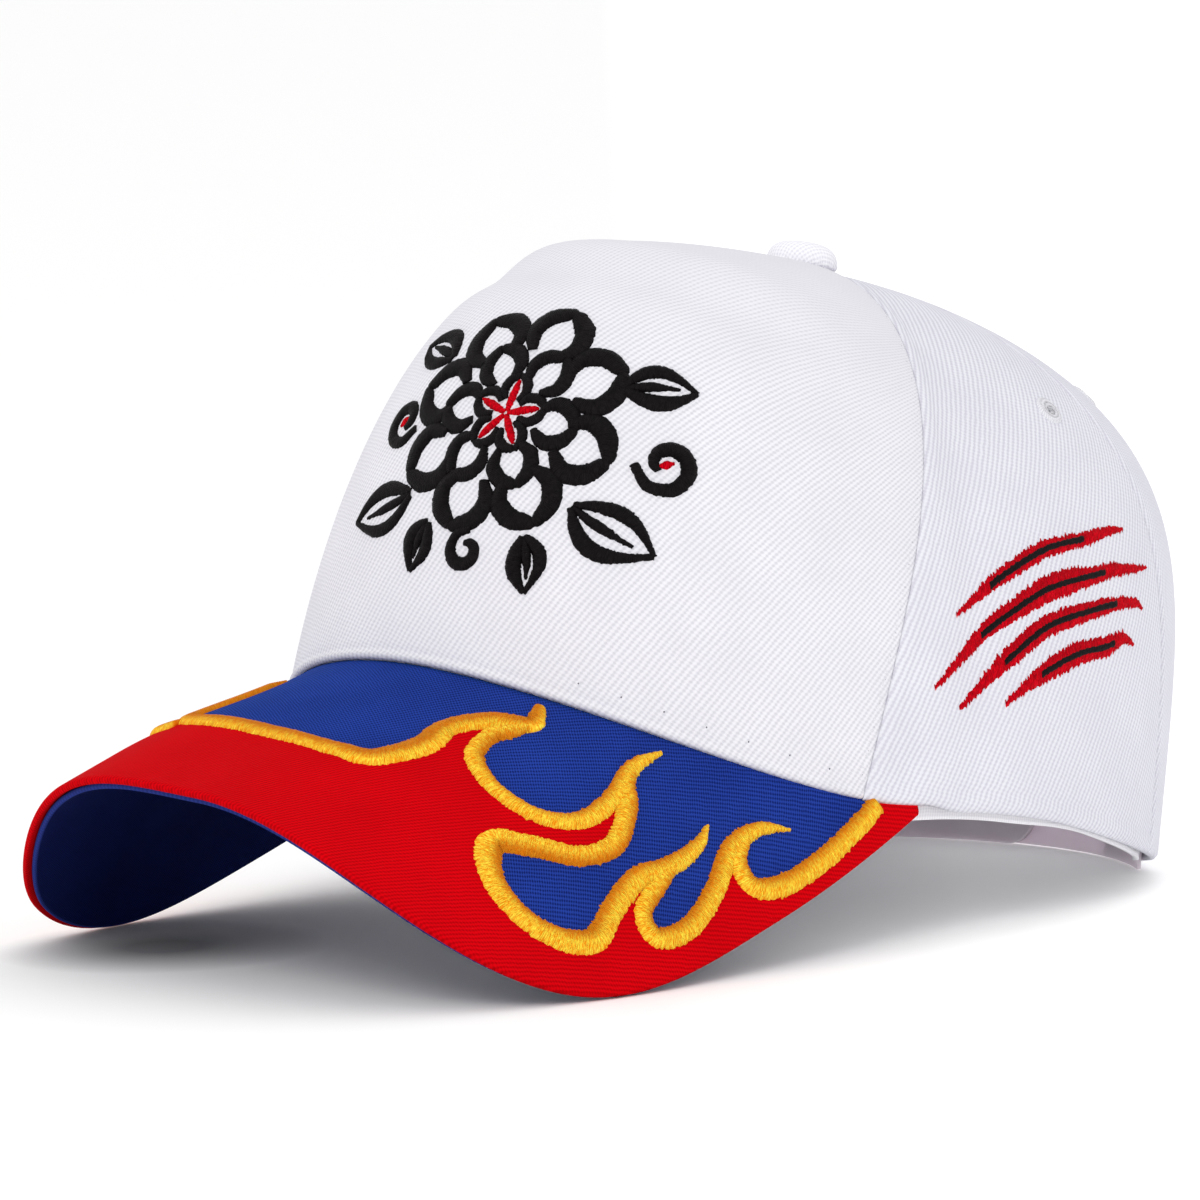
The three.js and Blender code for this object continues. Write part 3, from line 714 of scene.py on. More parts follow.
def panel_grid(left, right, across, up, depth, shape):
    """Angles, shares and points of one face of a panel. left and right give its edges at a share, and
    shape its relief from the distances to the left edge, the right edge and the foot."""
    rim_angle = lerp(left(0.0), right(0.0), across)
    length = cloth_length(rim_angle)
    start = panel_foot(rim_angle, depth)
    share = start + (1 - CROWN_EYE / length - start) * up[:, None]
    half_gap = SEAM_GAP / 2 / eye_scale(left(share), share)
    low, high = left(share) + half_gap, right(share) - half_gap
    angle = lerp(low, high, across)
    scale = ring_scale(angle, share)
    to_foot = (share - start) * length
    rise = shape((angle - low) * scale, (high - angle) * scale, to_foot) if shape else 0.0
    points = crown_point(angle, share, depth - rise)
    side, rim = np.abs(rim_angle), rim_height(rim_angle)
    plain = crown_point(angle[0], share[0], depth)
    over_peak = edge_over_peak(plain[:, 0], plain[:, 1])
    by_side = np.argsort(side)
    at_join = np.interp(JOIN_ANGLE, side[by_side], (over_peak - rim)[by_side])
    behind = rim + at_join * (1 - smoothstep(side, JOIN_ANGLE, JOIN_ANGLE + FOOT_FALL[1]))
    wanted = np.where(side <= JOIN_ANGLE, over_peak, behind)
    points[..., 2] += (1 - smoothstep(to_foot, 0, FOOT_SETTLE)) * (wanted - points[0, :, 2])
    return angle, share, points


def drill(hand, eyelet, obj):
    """Cuts a round hole for an eyelet."""
    around, share = EYELETS[eyelet]
    place = hand * around, share
    radius, depth = EYELET["hole"] * EYELET["drilled"] * MM, EYELET["drill_depth"] * MM
    bpy.ops.mesh.primitive_cylinder_add(vertices=32, radius=radius, depth=depth)
    cutter = bpy.context.object
    centre = crown_point(*place) + [0, CROWN_Y, 0]
    turn = Vector(outward(*place)).to_track_quat("Z", "Y")
    cutter.matrix_world = Matrix.LocRotScale(Vector(centre * MM), turn, None)
    bpy.context.view_layer.update()
    combine(obj, cutter, "DIFFERENCE")


def cloth_panel(node, face, shape, middle, material, rework=None):
    """A panel whose faces are given by a function of their depth and shape."""
    angle, share, outer = face(0.0, shape)
    inner = face(CLOTH, None)[2]
    mesh = (*slab(outer, inner), cloth_uv(angle, share, middle))
    add_piece(node + "_cloth", mesh, material, [node], rework)


def seam_line(seam, hand):
    return lambda share: hand * seam_angle(seam, share)


def front_shape(to_left, to_right, to_foot):
    seam = grooves(np.minimum(to_left, to_right), (0, 0.32, 0.8), (FRONT_STITCH, 0.12, 0.5))
    hem = grooves(to_foot, (0, 0.8, 0.6), (FRONT_HEM, 0.3, 0.5))
    return np.minimum(seam, hem) + 0.3 * bump(to_foot, 1.2, 0.7)


def front_panel():
    edges = seam_line(FRONT_SEAM, -1), seam_line(FRONT_SEAM, 1)
    face = partial(panel_grid, *edges, crowded(150, 0.6), crowded(120, 0.55))
    cloth_panel("front_panel", face, front_shape, 0, WHITE)


def side_shape(to_front, to_back, to_foot):
    seam = grooves(to_front, (0, 0.35, 0.7)) + grooves(to_back, (0, 0.5, 0.8))
    hem = grooves(to_foot, (0, 0.6, 0.6), (SIDE_HEM, 0.25, 0.6))
    allowance = 0.25 * (1 - smoothstep(to_front, 3.2, 4.8))
    dent = 0.8 * bump(to_front, 10, 4) * bump(to_foot, 9, 6)
    swell = 0.3 * bump(to_foot, 2.2, 1.3) * (1 - bump(to_front, 0, 3))
    return np.minimum(seam, hem) + (allowance - dent) + swell


def side_panel(hand, side):
    edges = [seam_line(FRONT_SEAM, hand), seam_line(BACK_SEAM, hand)][::hand]
    face = partial(panel_grid, *edges, crowded(76, 0.6), crowded(110, 0.5))

    def shape(to_left, to_right, to_foot):
        return side_shape(*(to_left, to_right)[::hand], to_foot)

    cut = partial(drill, hand, "side")
    cloth_panel(f"side_panel_{side}", face, shape, hand * SIDE_MIDDLE, WHITE_SIDE_PAINTED_SHADE, cut)


def back_shape(to_seam, to_middle, to_foot):
    seams = grooves(to_seam, (0, 0.5, 0.8)) + grooves(to_middle, (0, 0.5, 0.8))
    return seams + grooves(to_foot, (0, 0.7, 0.6), (BACK_HEM, 0.2, 0.5))


def back_grid(hand, depth, shape):
    """A back panel from its seam along the rim to the arch's corner, and up the arch to the middle."""
    rim_columns, arch_columns = 26, 64
    rim_angles = np.linspace(BACK_SEAM[0], CORNER_ANGLE, rim_columns + 1)
    turn = math.pi / 2 * (1 - np.arange(1, arch_columns + 1) / arch_columns)
    foot_angle = np.append(rim_angles, 180 - (180 - CORNER_ANGLE) * np.sin(turn))
    foot_height = np.append(np.zeros(rim_columns + 1), ARCH_HEIGHT * np.cos(turn))
    length = cloth_length(foot_angle)
    up = crowded(100, 0.5)[:, None]
    start = foot_height / length
    share = start * (1 - up) ** 2 + (1 - CROWN_EYE / length) * up
    ease = np.zeros(len(foot_angle))
    ease[0], ease[-1] = 1, -1
    angle = foot_angle + ease * SEAM_GAP / 2 / eye_scale(foot_angle, share)
    scale = ring_scale(foot_angle, share)
    to_foot = (share - start) * length
    to_seam, to_middle = (foot_angle - BACK_SEAM[0]) * scale, (180 - foot_angle) * scale
    rise = shape(to_seam, to_middle, to_foot) if shape else 0.0
    points = crown_point(hand * angle, share, depth - rise)
    lifted = np.where(foot_height == 0, rim_height(foot_angle) - points[0, :, 2], 0)
    points[..., 2] += (1 - smoothstep(to_foot, 0, FOOT_SETTLE)) * lifted
    return [grid[:, ::hand] for grid in (hand * angle, share, points)]


def back_panel(hand, side):
    face, cut = partial(back_grid, hand), partial(drill, hand, "back")
    cloth_panel(f"back_panel_{side}", face, back_shape, hand * BACK_MIDDLE, WHITE_SIDE_PAINTED_SHADE, cut)


# Peak

# Gold strands on the peak, from the far side round to the near one with the blue on their left.
# Each row: distance round the peak's curve, plan y, width
FAR_INNER = [
    (-66.2, -75.5, 0.8), (-65.8, -83.5, 3.6), (-68, -92, 4.6), (-66, -101, 4.8), (-59, -109, 4.8),
    (-50, -117, 5), (-42, -124, 5), (-37.5, -129.5, 4.8), (-31, -130, 4.4),
]
FAR_TONGUE = [
    (-27.5, -102, 0.8), (-28, -107, 2.6), (-29.5, -114, 3.6), (-32.5, -121, 4.4), (-32.6, -125.6, 5),
    (-26, -128.6, 5), (-10.5, -129.8, 4.8), (2.5, -130.5, 4.6), (14, -130.5, 4.5), (21, -129.5, 5),
    (28.5, -127, 6.2), (33.2, -117, 7), (32.4, -109.5, 6.2), (37, -101, 5.6), (43.6, -95.4, 5),
    (41.2, -90.4, 3),
]
FIRST_HOOK = [
    (44.5, -96.5, 2.2), (42.3, -100.5, 4.8), (40.8, -104.5, 4.8), (43.3, -111, 4.4), (52.5, -113.2, 3.9),
    (63, -109.8, 4.1), (69.6, -101.8, 4.6), (69.5, -92.5, 4.6), (65.8, -83.5, 4), (66.2, -75.5, 1.1),
]
SECOND_HOOK = [
    (66, -83, 1.6), (68.5, -87, 3.8), (72.5, -89.6, 4.7), (78.3, -97, 4.8), (76.3, -106.3, 5.2),
    (68.5, -115.3, 6), (63.8, -122, 6.5), (70, -126.6, 5.6), (80, -125.6, 5.2), (89, -119.5, 5.5),
    (93.4, -111.5, 5.8), (89.8, -104, 5.4), (87.2, -96, 5.2), (88.7, -87, 4.6), (88, -79, 3.2),
    (85.4, -74.6, 0.8),
]
THIRD_HOOK = [
    (89.5, -86, 1.6), (90.3, -90.5, 3.8), (94, -97.8, 4.4), (100, -96.8, 4.8), (102, -88.5, 5),
    (98.3, -79.5, 4.8), (92.3, -71.5, 4.6), (91.9, -63.5, 3.4), (95.6, -56, 0.8),
]
LAST_SWEEP = [
    (92.2, -67, 2), (96, -71.2, 4.4), (102, -69.4, 4.8), (105.1, -61.5, 5), (104.8, -50, 4.8),
    (102.6, -38.5, 4.6), (100.8, -33, 4.6),
]
# The strands in turn, each with how far the painted shade on its left side reaches in
FAR_PAINTED_SHADE = 1.6
NEAR_HOOKS = [SECOND_HOOK, THIRD_HOOK, LAST_SWEEP]
FLAMES = [([(-x, y, width) for x, y, width in rows[::-1]], 0.0) for rows in NEAR_HOOKS[::-1]]
FLAMES += [(FAR_INNER, FAR_PAINTED_SHADE), (FAR_TONGUE, FAR_PAINTED_SHADE)]
FLAMES += [(rows, 0.0) for rows in [FIRST_HOOK] + NEAR_HOOKS]
# Places where two strands meet
NEAR_NOTCHES = [(71, -91), (89.4, -96), (98, -74)]
FRONT_NOTCHES = [(-33, -126.5), (38, -104)]


def smooth_path(rows, steps=24):
    """A curve through the rows, whose further columns ride along."""
    rows = np.array(rows, float)
    padded = np.concatenate([[2 * rows[0] - rows[1]], rows, [2 * rows[-1] - rows[-2]]])
    weights = np.stack(spline_weights(np.arange(steps) / steps), -1)
    pieces = [weights @ padded[i:i + 4] for i in range(len(rows) - 1)]
    return np.concatenate(pieces + [rows[-1:]])


def nearest(path, point):
    return int(np.argmin(np.hypot(path[:, 0] - point[0], path[:, 1] - point[1])))


def blue_area():
    """Outline of the peak's blue area: the strands' centre-lines between the notches where two meet."""
    notches = [(-x, y) for x, y in NEAR_NOTCHES[::-1]] + FRONT_NOTCHES + NEAR_NOTCHES
    outline = []
    for i, (rows, _) in enumerate(FLAMES):
        path = smooth_path(rows)[:, :2]
        start = nearest(path, notches[i - 1]) if i > 0 else 0
        end = nearest(path, notches[i]) if i < len(notches) else len(path) - 1
        outline.append(path[start:end + 1])
    return np.concatenate(outline + [np.array([(100, 0), (-100, 0)], float)])


def inside(outline, x, y):
    """Whether each place lies within a closed outline."""
    found = np.zeros(x.shape, bool)
    for (x0, y0), (x1, y1) in zip(outline, np.roll(outline, -1, axis=0)):
        if y0 == y1:
            continue
        crosses = (y0 > y) != (y1 > y)
        found ^= crosses & (x < (x1 - x0) * (y - y0) / (y1 - y0) + x0)
    return found


def peak_grid(columns, rows_up, inset, top, bottom, rounding):
    """The distances round and the plan y of a layer of the peak, and its two faces' points.
    Most of the edge's rounding is on the upper face."""
    above = 0.75
    across = np.linspace(1, -1, columns + 1)
    rim_x, rim_y = rim_plan(JOIN_ANGLE * across)
    tuck = 1 - PEAK_TUCK / np.hypot(rim_x, rim_y)
    inner_round = PEAK_RADIUS * np.arcsin(rim_x * tuck / PEAK_RADIUS)
    edge_x, edge_y = peak_outline(1 - np.abs(across))
    outer_round = np.sign(across) * PEAK_RADIUS * np.arcsin(edge_x / PEAK_RADIUS)
    length = np.maximum(np.hypot(outer_round - inner_round, edge_y - rim_y * tuck), 0.01)
    reach = 1 - np.minimum(inset / length, 0.5)
    part = rows_up[:, None] * reach
    round_ = lerp(inner_round, outer_round, part)
    y = lerp(rim_y * tuck, edge_y, part)
    fall = np.clip(rounding - (reach - part) * length, 0, rounding)
    drop = rounding - np.sqrt(np.maximum(rounding**2 - fall**2, 0))
    upper = peak_point(round_, y, top + drop * above)
    lower = peak_point(round_, y, bottom - drop * (1 - above))
    return round_, y, upper, lower


def peak_areas(grid, areas):
    """Pieces of one layer of the peak. Each area has a name, cells, material, slot and nodes."""
    round_, y, upper, lower = grid
    uv = both_faces(round_, y * math.hypot(1, PEAK_SLOPE))
    for name, cells, material, slot, nodes in areas:
        add_piece(name, used_only(*slab(upper, lower, cells), uv), material, nodes)


def peak_cover():
    grid = peak_grid(300, toward_edge(96, 0.8), 0, 0.0, PEAK_COVER, EDGE_ROUND)
    middle_round, middle_y = ((places[:-1, :-1] + places[1:, 1:]) / 2 for places in grid[:2])
    blue = inside(blue_area(), middle_round, middle_y)
    peak_areas(grid, [
        ("peak_red_twill", ~blue, RED, "red_twill", ["peak_top"]),
        ("peak_blue_twill", blue, BLUE, "blue_twill", []),
    ])


def peak_underside():
    columns, rows, painted_light_rows = 220, 60, 2
    inset, gap, rounding = LINING_INSET * 1.15, 0.15, 0.8
    bottom = PEAK_COVER + GAP + PEAK_LINING
    grid = peak_grid(columns, toward_edge(rows, 0.8), inset, PEAK_COVER + gap, bottom, rounding)
    # The last rows, by the edge, take the lighter blue: painted light
    edge = np.zeros((rows, columns), bool)
    edge[-painted_light_rows:] = True
    peak_areas(grid, [
        ("peak_lining_twill", ~edge, NAVY, "blue_twill", ["peak_lining"]),
        ("peak_lining_painted_light_edge", edge, BLUE_LINING_PAINTED_LIGHT, "blue_twill", []),
    ])


# Embroidery

# How each satin is sewn: height of its pad, pitch of its stitches, how far their ends wander and how
# far a stitch leans along the path
FLAME_SATIN = {"height": 1.1, "pitch": 0.42, "ragged": 0.14, "slant": 0.12}
SCRATCH_SATIN = {"height": 0.45, "pitch": 0.42, "ragged": 0.3, "slant": 0.5}
CORE_SATIN = {"height": 0.35, "pitch": 0.5, "ragged": 0.12, "slant": 0.5}
FLOWER_SATIN = {"height": 0.85, "pitch": 0.42, "ragged": 0.08, "slant": 0.15, "sections": 7}


def resample(points, extra, step):
    """Even steps along a curve in space, with its further columns."""
    length = running_length(points)
    count = max(2, int(round(length[-1] / step)))
    wanted = np.linspace(0, length[-1], count + 1)
    both = np.concatenate([points, extra], axis=1)
    even = np.stack([np.interp(wanted, length, column) for column in both.T], -1)
    return even[:, :3], even[:, 3:], wanted


def strip(centres, normals, widths, height, pitch, ragged, slant, sections=9, shade=0.0):
    """A satin strip over a curve: a rounded pad whose stitches cross it side by side.
    shade is how far the painted shade on the left side reaches in."""
    stitch_rise, sunk, thinnest, full_width, base_depth = 0.07, 0.25, 0.15, 2.4, 0.3
    points, extra, along = resample(centres, np.concatenate([normals, widths[:, None]], 1), pitch / 2)
    normal, half = unit(extra[:, :3]), extra[:, 3] / 2
    tangent = unit(np.gradient(points, axis=0))
    sideways = unit(np.cross(normal, tangent))
    step = np.arange(len(points))
    wander = seeded.normal(0, ragged, (step[-1] // 2 + 1, 2))[step // 2]
    place = np.sin(np.linspace(-math.pi / 2, math.pi / 2, sections))
    rise = np.clip(1 - np.abs(place) ** 2.4, 0, 1) ** 0.55
    reach = np.where(place < 0, wander[:, :1], wander[:, 1:]) * place**2
    offset = place * np.maximum(half[:, None] + reach, thinnest)
    pad = height * np.clip(half * 2 / full_width, 0.35, 1) + stitch_rise * (step % 2 == 0)
    lift = pad[:, None] * rise - sunk * (1 - rise)
    lean = tangent[:, None] * (slant * offset)[..., None]
    line = points[:, None] + sideways[:, None] * offset[..., None] + lean
    top = line + normal[:, None] * lift[..., None]
    base = line - normal[:, None] * base_depth
    mesh = slab(top.transpose(1, 0, 2), base.transpose(1, 0, 2))
    # Painted shade: the distance over the stitches is shifted by shade, so the satin's painted shade
    # reaches further in
    return (*mesh, both_faces(along, (offset + shade).T))


def flames():
    parts = []
    for rows, shade in FLAMES:
        round_, y, width = smooth_path(rows).T
        places, lie = peak_point(round_, y), peak_lie(round_, y)
        parts.append(strip(places, lie, width, **FLAME_SATIN, shade=shade))
    add_piece("peak_flames", joined(parts), GOLD)


def crown_strip(rows, lift=0.0, **sewn):
    """A satin strip on the crown through rows of an angle, a share and a width."""
    angle, share, width = smooth_path(rows).T
    return strip(crown_point(angle, share, -lift), outward(angle, share), width, **sewn)


# Scratches on the wearer's left: the angles between which the black core runs, and rows of angle,
# share and width
SCRATCHES = [
    ((87.4, 111.8), [
        (80, 0.268, 1), (85.4, 0.3, 2.4), (91, 0.334, 3.6), (101, 0.375, 4), (111, 0.395, 3.2),
        (118.2, 0.409, 2.2), (122.1, 0.412, 1)]),
    ((85.2, 114.4), [
        (75.7, 0.166, 1), (81, 0.21, 2.6), (88.2, 0.2615, 4), (97.1, 0.306, 5.4), (103, 0.326, 6),
        (111.6, 0.345, 4.2), (118.2, 0.356, 3), (127.4, 0.362, 1)]),
    ((89.6, 116.6), [
        (80.9, 0.14, 1), (85.4, 0.174, 2.4), (91, 0.217, 4.2), (99.3, 0.265, 4.9), (109.3, 0.294, 4.2),
        (116, 0.3085, 3), (121.6, 0.314, 2.4), (124.3, 0.308, 1)]),
    ((97.1, 114.8), [
        (90, 0.151, 1), (94.3, 0.179, 2.8), (99.3, 0.206, 4.6), (106, 0.233, 5.2), (112.7, 0.249, 4.6),
        (117.7, 0.264, 2.8), (120.7, 0.2585, 1)]),
]
SCRATCH_SPREAD = 1.02
CORE_WIDTH = 1.6
CORE_LIFT = 0.42


def scratches():
    red, black = [], []
    for (low, high), rows in SCRATCHES:
        red.append(crown_strip(np.array(rows) * [1, 1, SCRATCH_SPREAD], **SCRATCH_SATIN))
        path = smooth_path(rows)
        core = path[(path[:, 0] > low) & (path[:, 0] < high)][::6]
        core[:, 2] = CORE_WIDTH
        black.append(crown_strip(core, CORE_LIFT, **CORE_SATIN))
    add_piece("scratches_red", joined(red), SCARLET)
    add_piece("scratches_black", joined(black), BLACK)


# Flower on the front, in millimetres across and up from its place on the crown
FLOWER = {"angle": 5.0, "share": 0.3}
HEART = np.array((5, 6))
# Rings of petals: count, turn, base, reach, spread and weight of the line
PETALS = [(8, 10, 15.3, 27, 6.2, 4.9), (6, 30, 8.2, 17.5, 4.5, 3.9), (5, 0, 3.2, 9.4, 2.8, 2.6)]
# Half of a petal's outline: share of its length, of its spread and of its weight
PETAL_EDGE = [(0, 0.55, 0.5), (0.35, 1, 0.95), (0.72, 0.8, 1), (0.94, 0.22, 0.75), (1, -0.05, 0.35)]
# Red stamens: how many, and the distance from the heart and width along each
STAMENS = 5
STAMEN = [(0.5, 1.2), (3.4, 2), (6.2, 1.8), (8, 0.7)]
# Leaves: root, heading, length and bend
LEAVES = [
    ((-14, -14), 240, 19, 4), ((-6, -20), 205, 11, -3), ((27, -10), 115, 20, -4),
    ((19, -19), 150, 12, 3), ((28, 18), 60, 15, 3), ((-18, 18), 300, 15, -3),
]
LEAF_WEIGHT = 4.1
LEAF_SPREAD = 0.26
# Tendrils: centre, radius, start, sweep, how much they shrink, and weight. The first two end in a bud
TENDRILS = [
    ((43, 5), 6.6, 200, 400, 0.68, 3.8), ((-26, 3), 5.8, -20, -400, 0.68, 3.6),
    ((6, -25), 4.6, 90, 380, 0.66, 3.3),
]
BUD = [(-1.4, -1, 0.8), (0, 0, 2), (1.4, 1, 0.8)]


def flower_rows(stroke):
    """Turns a stroke's distances across and up into an angle and a share."""
    across, up, width = np.array(stroke, float).T
    share = FLOWER["share"] + up / cloth_length(0)
    angle = FLOWER["angle"] + across / ring_scale(np.zeros(len(up)), share)
    return np.stack([angle, share, width], -1)


def headings(degrees):
    """Directions ahead and to the right of a heading, which turns clockwise from up."""
    turn = math.radians(degrees)
    return np.array([math.sin(turn), math.cos(turn)]), np.array([math.cos(turn), -math.sin(turn)])


def swelled(part):
    """A stroke's share of its weight, which is least at both ends."""
    thin = 0.35
    return thin + (1 - thin) * math.sin(math.pi * part)


def petal(heading, base, reach, spread, weight):
    """The two strokes that outline a petal from its base to its tip."""
    ahead, aside = headings(heading)
    return [
        [(*(HEART + ahead * lerp(base, reach, part) + aside * hand * out * spread), weight * share)
         for part, out, share in PETAL_EDGE]
        for hand in (-1, 1)
    ]


def leaf(root, heading, length, bend):
    """A leaf's two edges and its midrib."""
    ahead, aside = headings(heading)
    strokes = []
    for out, tip, share in ((LEAF_SPREAD, 1, 1), (-LEAF_SPREAD, 1, 0.85), (0, 0.78, 0.6)):
        rows = []
        for part in np.linspace(0.03, tip, 6):
            swerve = length * out * math.sin(math.pi * part) + bend * part**2
            width = LEAF_WEIGHT * share * swelled(min(part * 1.1 / tip, 1))
            rows.append((*(root + ahead * length * part + aside * swerve), width))
        strokes.append(rows)
    return strokes


def tendril(centre, radius, start, sweep, shrink, weight):
    """A line that winds inward."""
    rows = []
    for part in np.linspace(0, 1, 9):
        turn = math.radians(start + sweep * part)
        reach = radius * (1 - shrink * part)
        x, y = centre[0] + reach * math.cos(turn), centre[1] + reach * math.sin(turn)
        rows.append((x, y, weight * swelled(0.1 + 0.85 * part)))
    return rows


def flower():
    black, red = [], []
    for count, turn, *form in PETALS:
        for i in range(count):
            black += petal(turn + 360 * i / count, *form)
    for i in range(STAMENS):
        ahead = headings(360 / STAMENS * i)[0]
        red.append([(*(HEART + ahead * far), width) for far, width in STAMEN])
    for row in LEAVES:
        black += leaf(*row)
    black += [tendril(*row) for row in TENDRILS]
    for (x, y), *_ in TENDRILS[:2]:
        red.append([(x + across, y + up, width) for across, up, width in BUD])
    for name, strokes, material, slot in (
        ("front_flower_black", black, BLACK, "black_thread"),
        ("front_flower_red", red, SCARLET, "red_thread"),
    ):
        parts = [crown_strip(flower_rows(stroke), **FLOWER_SATIN) for stroke in strokes]
        add_piece(name, joined(parts), material)


def stitches(places, normals, pitch, length, radius):
    """A row of stitches along a curve: each a short thread that rises from the cloth and dips back."""
    points, normal, _ = resample(places, normals, pitch)
    normal, tangent = unit(normal), unit(np.gradient(points, axis=0))
    sideways = np.cross(normal, tangent)
    sides, rings = 6, 5
    part = np.linspace(-0.5, 0.5, rings)
    turn = np.arange(sides + 1) * 2 * math.pi / sides
    arch = 1 - (2 * part) ** 2
    thick = radius * (0.55 + 0.45 * arch)
    lift = radius * (1.2 * arch - 0.9)
    centre = (
        points[:, None, :]
        + tangent[:, None, :] * (part * length)[None, :, None]
        + normal[:, None, :] * lift[None, :, None]
    )
    ring = (
        sideways[:, None, None, :] * np.cos(turn)[None, None, :, None]
        + normal[:, None, None, :] * np.sin(turn)[None, None, :, None]
    )
    shell = centre[:, :, None, :] + ring * thick[None, :, None, None]
    faces = grid_faces(rings, sides + 1).reshape(-1, 4)
    uv = face_uv((part * length)[:, None], turn * radius)
    return joined([(one.reshape(-1, 3), faces, uv) for one in shell])


def crown_row(angles, shares, pitch=2.6, length=1.9, radius=0.2, sunk=0.24):
    places = crown_point(angles, shares, sunk)
    return stitches(places, outward(angles, shares), pitch, length, radius)


def beside(seam, offset, share):
    """Angles of a line beside a seam."""
    angle = seam_angle(seam, share)
    return angle + offset / ring_scale(angle, share)


def seam_stitches():
    """Topstitching beside the seams and round the arch, where a degree is about 1.7 mm of cloth."""
    whole, above_arch = np.linspace(0.035, 0.955, 240), np.linspace(0.36, 0.955, 160)
    turn = np.linspace(0, math.pi / 2, 120)
    foot_height, degree = 1.5, 1.7
    arch_angle = 180 - (180 - CORNER_ANGLE + BACK_HEM / degree) * np.sin(turn)
    arch_height = (ARCH_HEIGHT + BACK_HEM) * np.cos(turn) + foot_height
    rows = []
    for hand, _ in HANDS[::-1]:
        for seam, offset, share in (
            (FRONT_SEAM, -FRONT_STITCH, whole), (BACK_SEAM, -BACK_STITCH, whole),
            (BACK_SEAM, BACK_STITCH, whole), (MIDDLE_SEAM, -BACK_STITCH, above_arch),
        ):
            rows.append(crown_row(hand * beside(seam, offset, share), share))
        rows.append(crown_row(hand * arch_angle, arch_height / cloth_length(arch_angle)))
    add_piece("seam_stitches", joined(rows), WHITE_THREAD)


def needle_holes():
    """Small holes left by the needle above the front hem and beside the front seams: sunk stitches in
    dark grey, painted shade in the holes.
    """
    height, wander_far, wander_count = 5.2, 0.35, 16
    above_hem, knots = np.linspace(27.5, 60, 90), np.linspace(-60, 62, wander_count)
    wander = np.interp(above_hem, knots, seeded.normal(0, wander_far, wander_count))
    share = panel_foot(above_hem, 0.0) + (height + wander) / cloth_length(above_hem)
    rows = [crown_row(above_hem, share, pitch=9.5, length=0.5, radius=0.22, sunk=0.1)]
    share = np.linspace(0.04, 0.94, 200)
    for hand, _ in HANDS[::-1]:
        angle = hand * beside(FRONT_SEAM, -NEEDLE_LINE, share)
        rows.append(crown_row(angle, share, pitch=5.3, length=0.4, radius=0.16))
    add_piece("needle_holes", joined(rows), NEEDLE_HOLE_PAINTED_SHADE)


# Trim

def radial(normal, upright, turn):
    """Directions round a normal, from across an upright direction."""
    across = unit(np.cross(upright, normal))
    return across * np.cos(turn)[:, None] + np.cross(normal, across) * np.sin(turn)[:, None]


def eyelets():
    """Bound holes: a ring of stitches round a small opening with five corners."""
    spokes, sections, corners, ragged_by = 34, 10, 5, 0.05
    turn = np.arange(spokes * 2 + 1) * math.pi / spokes
    bend = np.linspace(0, math.pi, sections)
    star = EYELET["hole"] * (1 + EYELET["star"] * np.cos(corners * turn))
    middle, half = (EYELET["radius"] + star) / 2, (EYELET["radius"] - star) / 2
    raised = EYELET["proud"] + 0.15 + EYELET["ridge"] * (np.arange(len(turn)) % 2)
    for name, (angle, share) in EYELETS.items():
        for hand, side in HANDS:
            place = hand * angle, share
            centre, normal = crown_point(*place), outward(*place)
            ragged = seeded.normal(0, ragged_by, len(turn))
            ragged[-1] = ragged[0]
            reach = middle[:, None] + (half + ragged)[:, None] * -np.cos(bend)
            height = np.sin(bend) ** 0.7 * raised[:, None] - 0.1
            spread = centre + radial(normal, [0, 0, 1], turn)[:, None] * reach[..., None]
            face = spread + normal * height[..., None]
            under = spread - normal * (CLOTH + 0.2)
            mesh = slab(face.transpose(1, 0, 2), under.transpose(1, 0, 2), ring=True)
            node = f"eyelet_{name}_{side}"
            mesh = (*mesh, both_faces(turn * 3, reach.T))
            add_piece(node + "_thread", mesh, WHITE_THREAD, [node], merge_doubles)


def lathe(profile, sides, base, normal, waves=None):
    """A turned shape about a normal. profile has rows of a radius and a height."""
    turn = np.linspace(0, 2 * math.pi, sides + 1)
    normal = unit(np.array(normal, float))
    profile = np.array(profile, float)
    reach = profile[:, :1] * np.ones(len(turn))
    if waves is not None:
        reach = reach + waves(profile, turn)
    heights = normal * profile[:, 1][:, None, None]
    points = base + radial(normal, [0, 1, 0], turn) * reach[..., None] + heights
    length = running_length(profile)
    left = (length[-1] - length)[:, None]
    faces = grid_faces(*points.shape[:2]).reshape(-1, 4)
    return points.reshape(-1, 3), faces, face_uv(left * np.cos(turn), left * np.sin(turn))


def top_button():
    radius, height, shank, shank_depth = BUTTON.values()
    edge, gather, gather_count = 0.9, 0.16, 22
    profile = [
        (0, -shank_depth), (shank, -shank_depth), (shank, GAP), (radius - 0.8, GAP),
        (radius - 0.25, GAP + 0.25), (radius, GAP + edge),
    ]
    for turn in np.linspace(0, math.pi / 2, 26)[1:]:
        dome = (height - edge) * math.sin(turn) ** 0.9
        profile.append((radius * max(math.cos(turn), 0) ** 0.62, GAP + edge + dome))

    def gathers(rows, turn):
        low = bump(rows[:, 1], GAP + 0.6, 1.1) * (rows[:, 0] > 5)
        return low[:, None] * gather * np.cos(gather_count * turn)

    mesh = lathe(profile, 120, np.array([0, APEX_BACK, APEX_HEIGHT]), (0, ROOF_FALL, 1), gathers)
    add_piece("top_button_cloth", mesh, WHITE_BUTTON, ["top_button"], merge_doubles)


def tape_drop(angle):
    side = np.abs(angle)
    ahead = smoothstep(JOIN_ANGLE + 1 - side, 0, TAPE["front_fade"])
    behind = smoothstep(TAPE["side_end"] - side, 0, TAPE["side_fade"])
    return lerp(TAPE["side_drop"] * behind, TAPE["front_drop"], ahead)


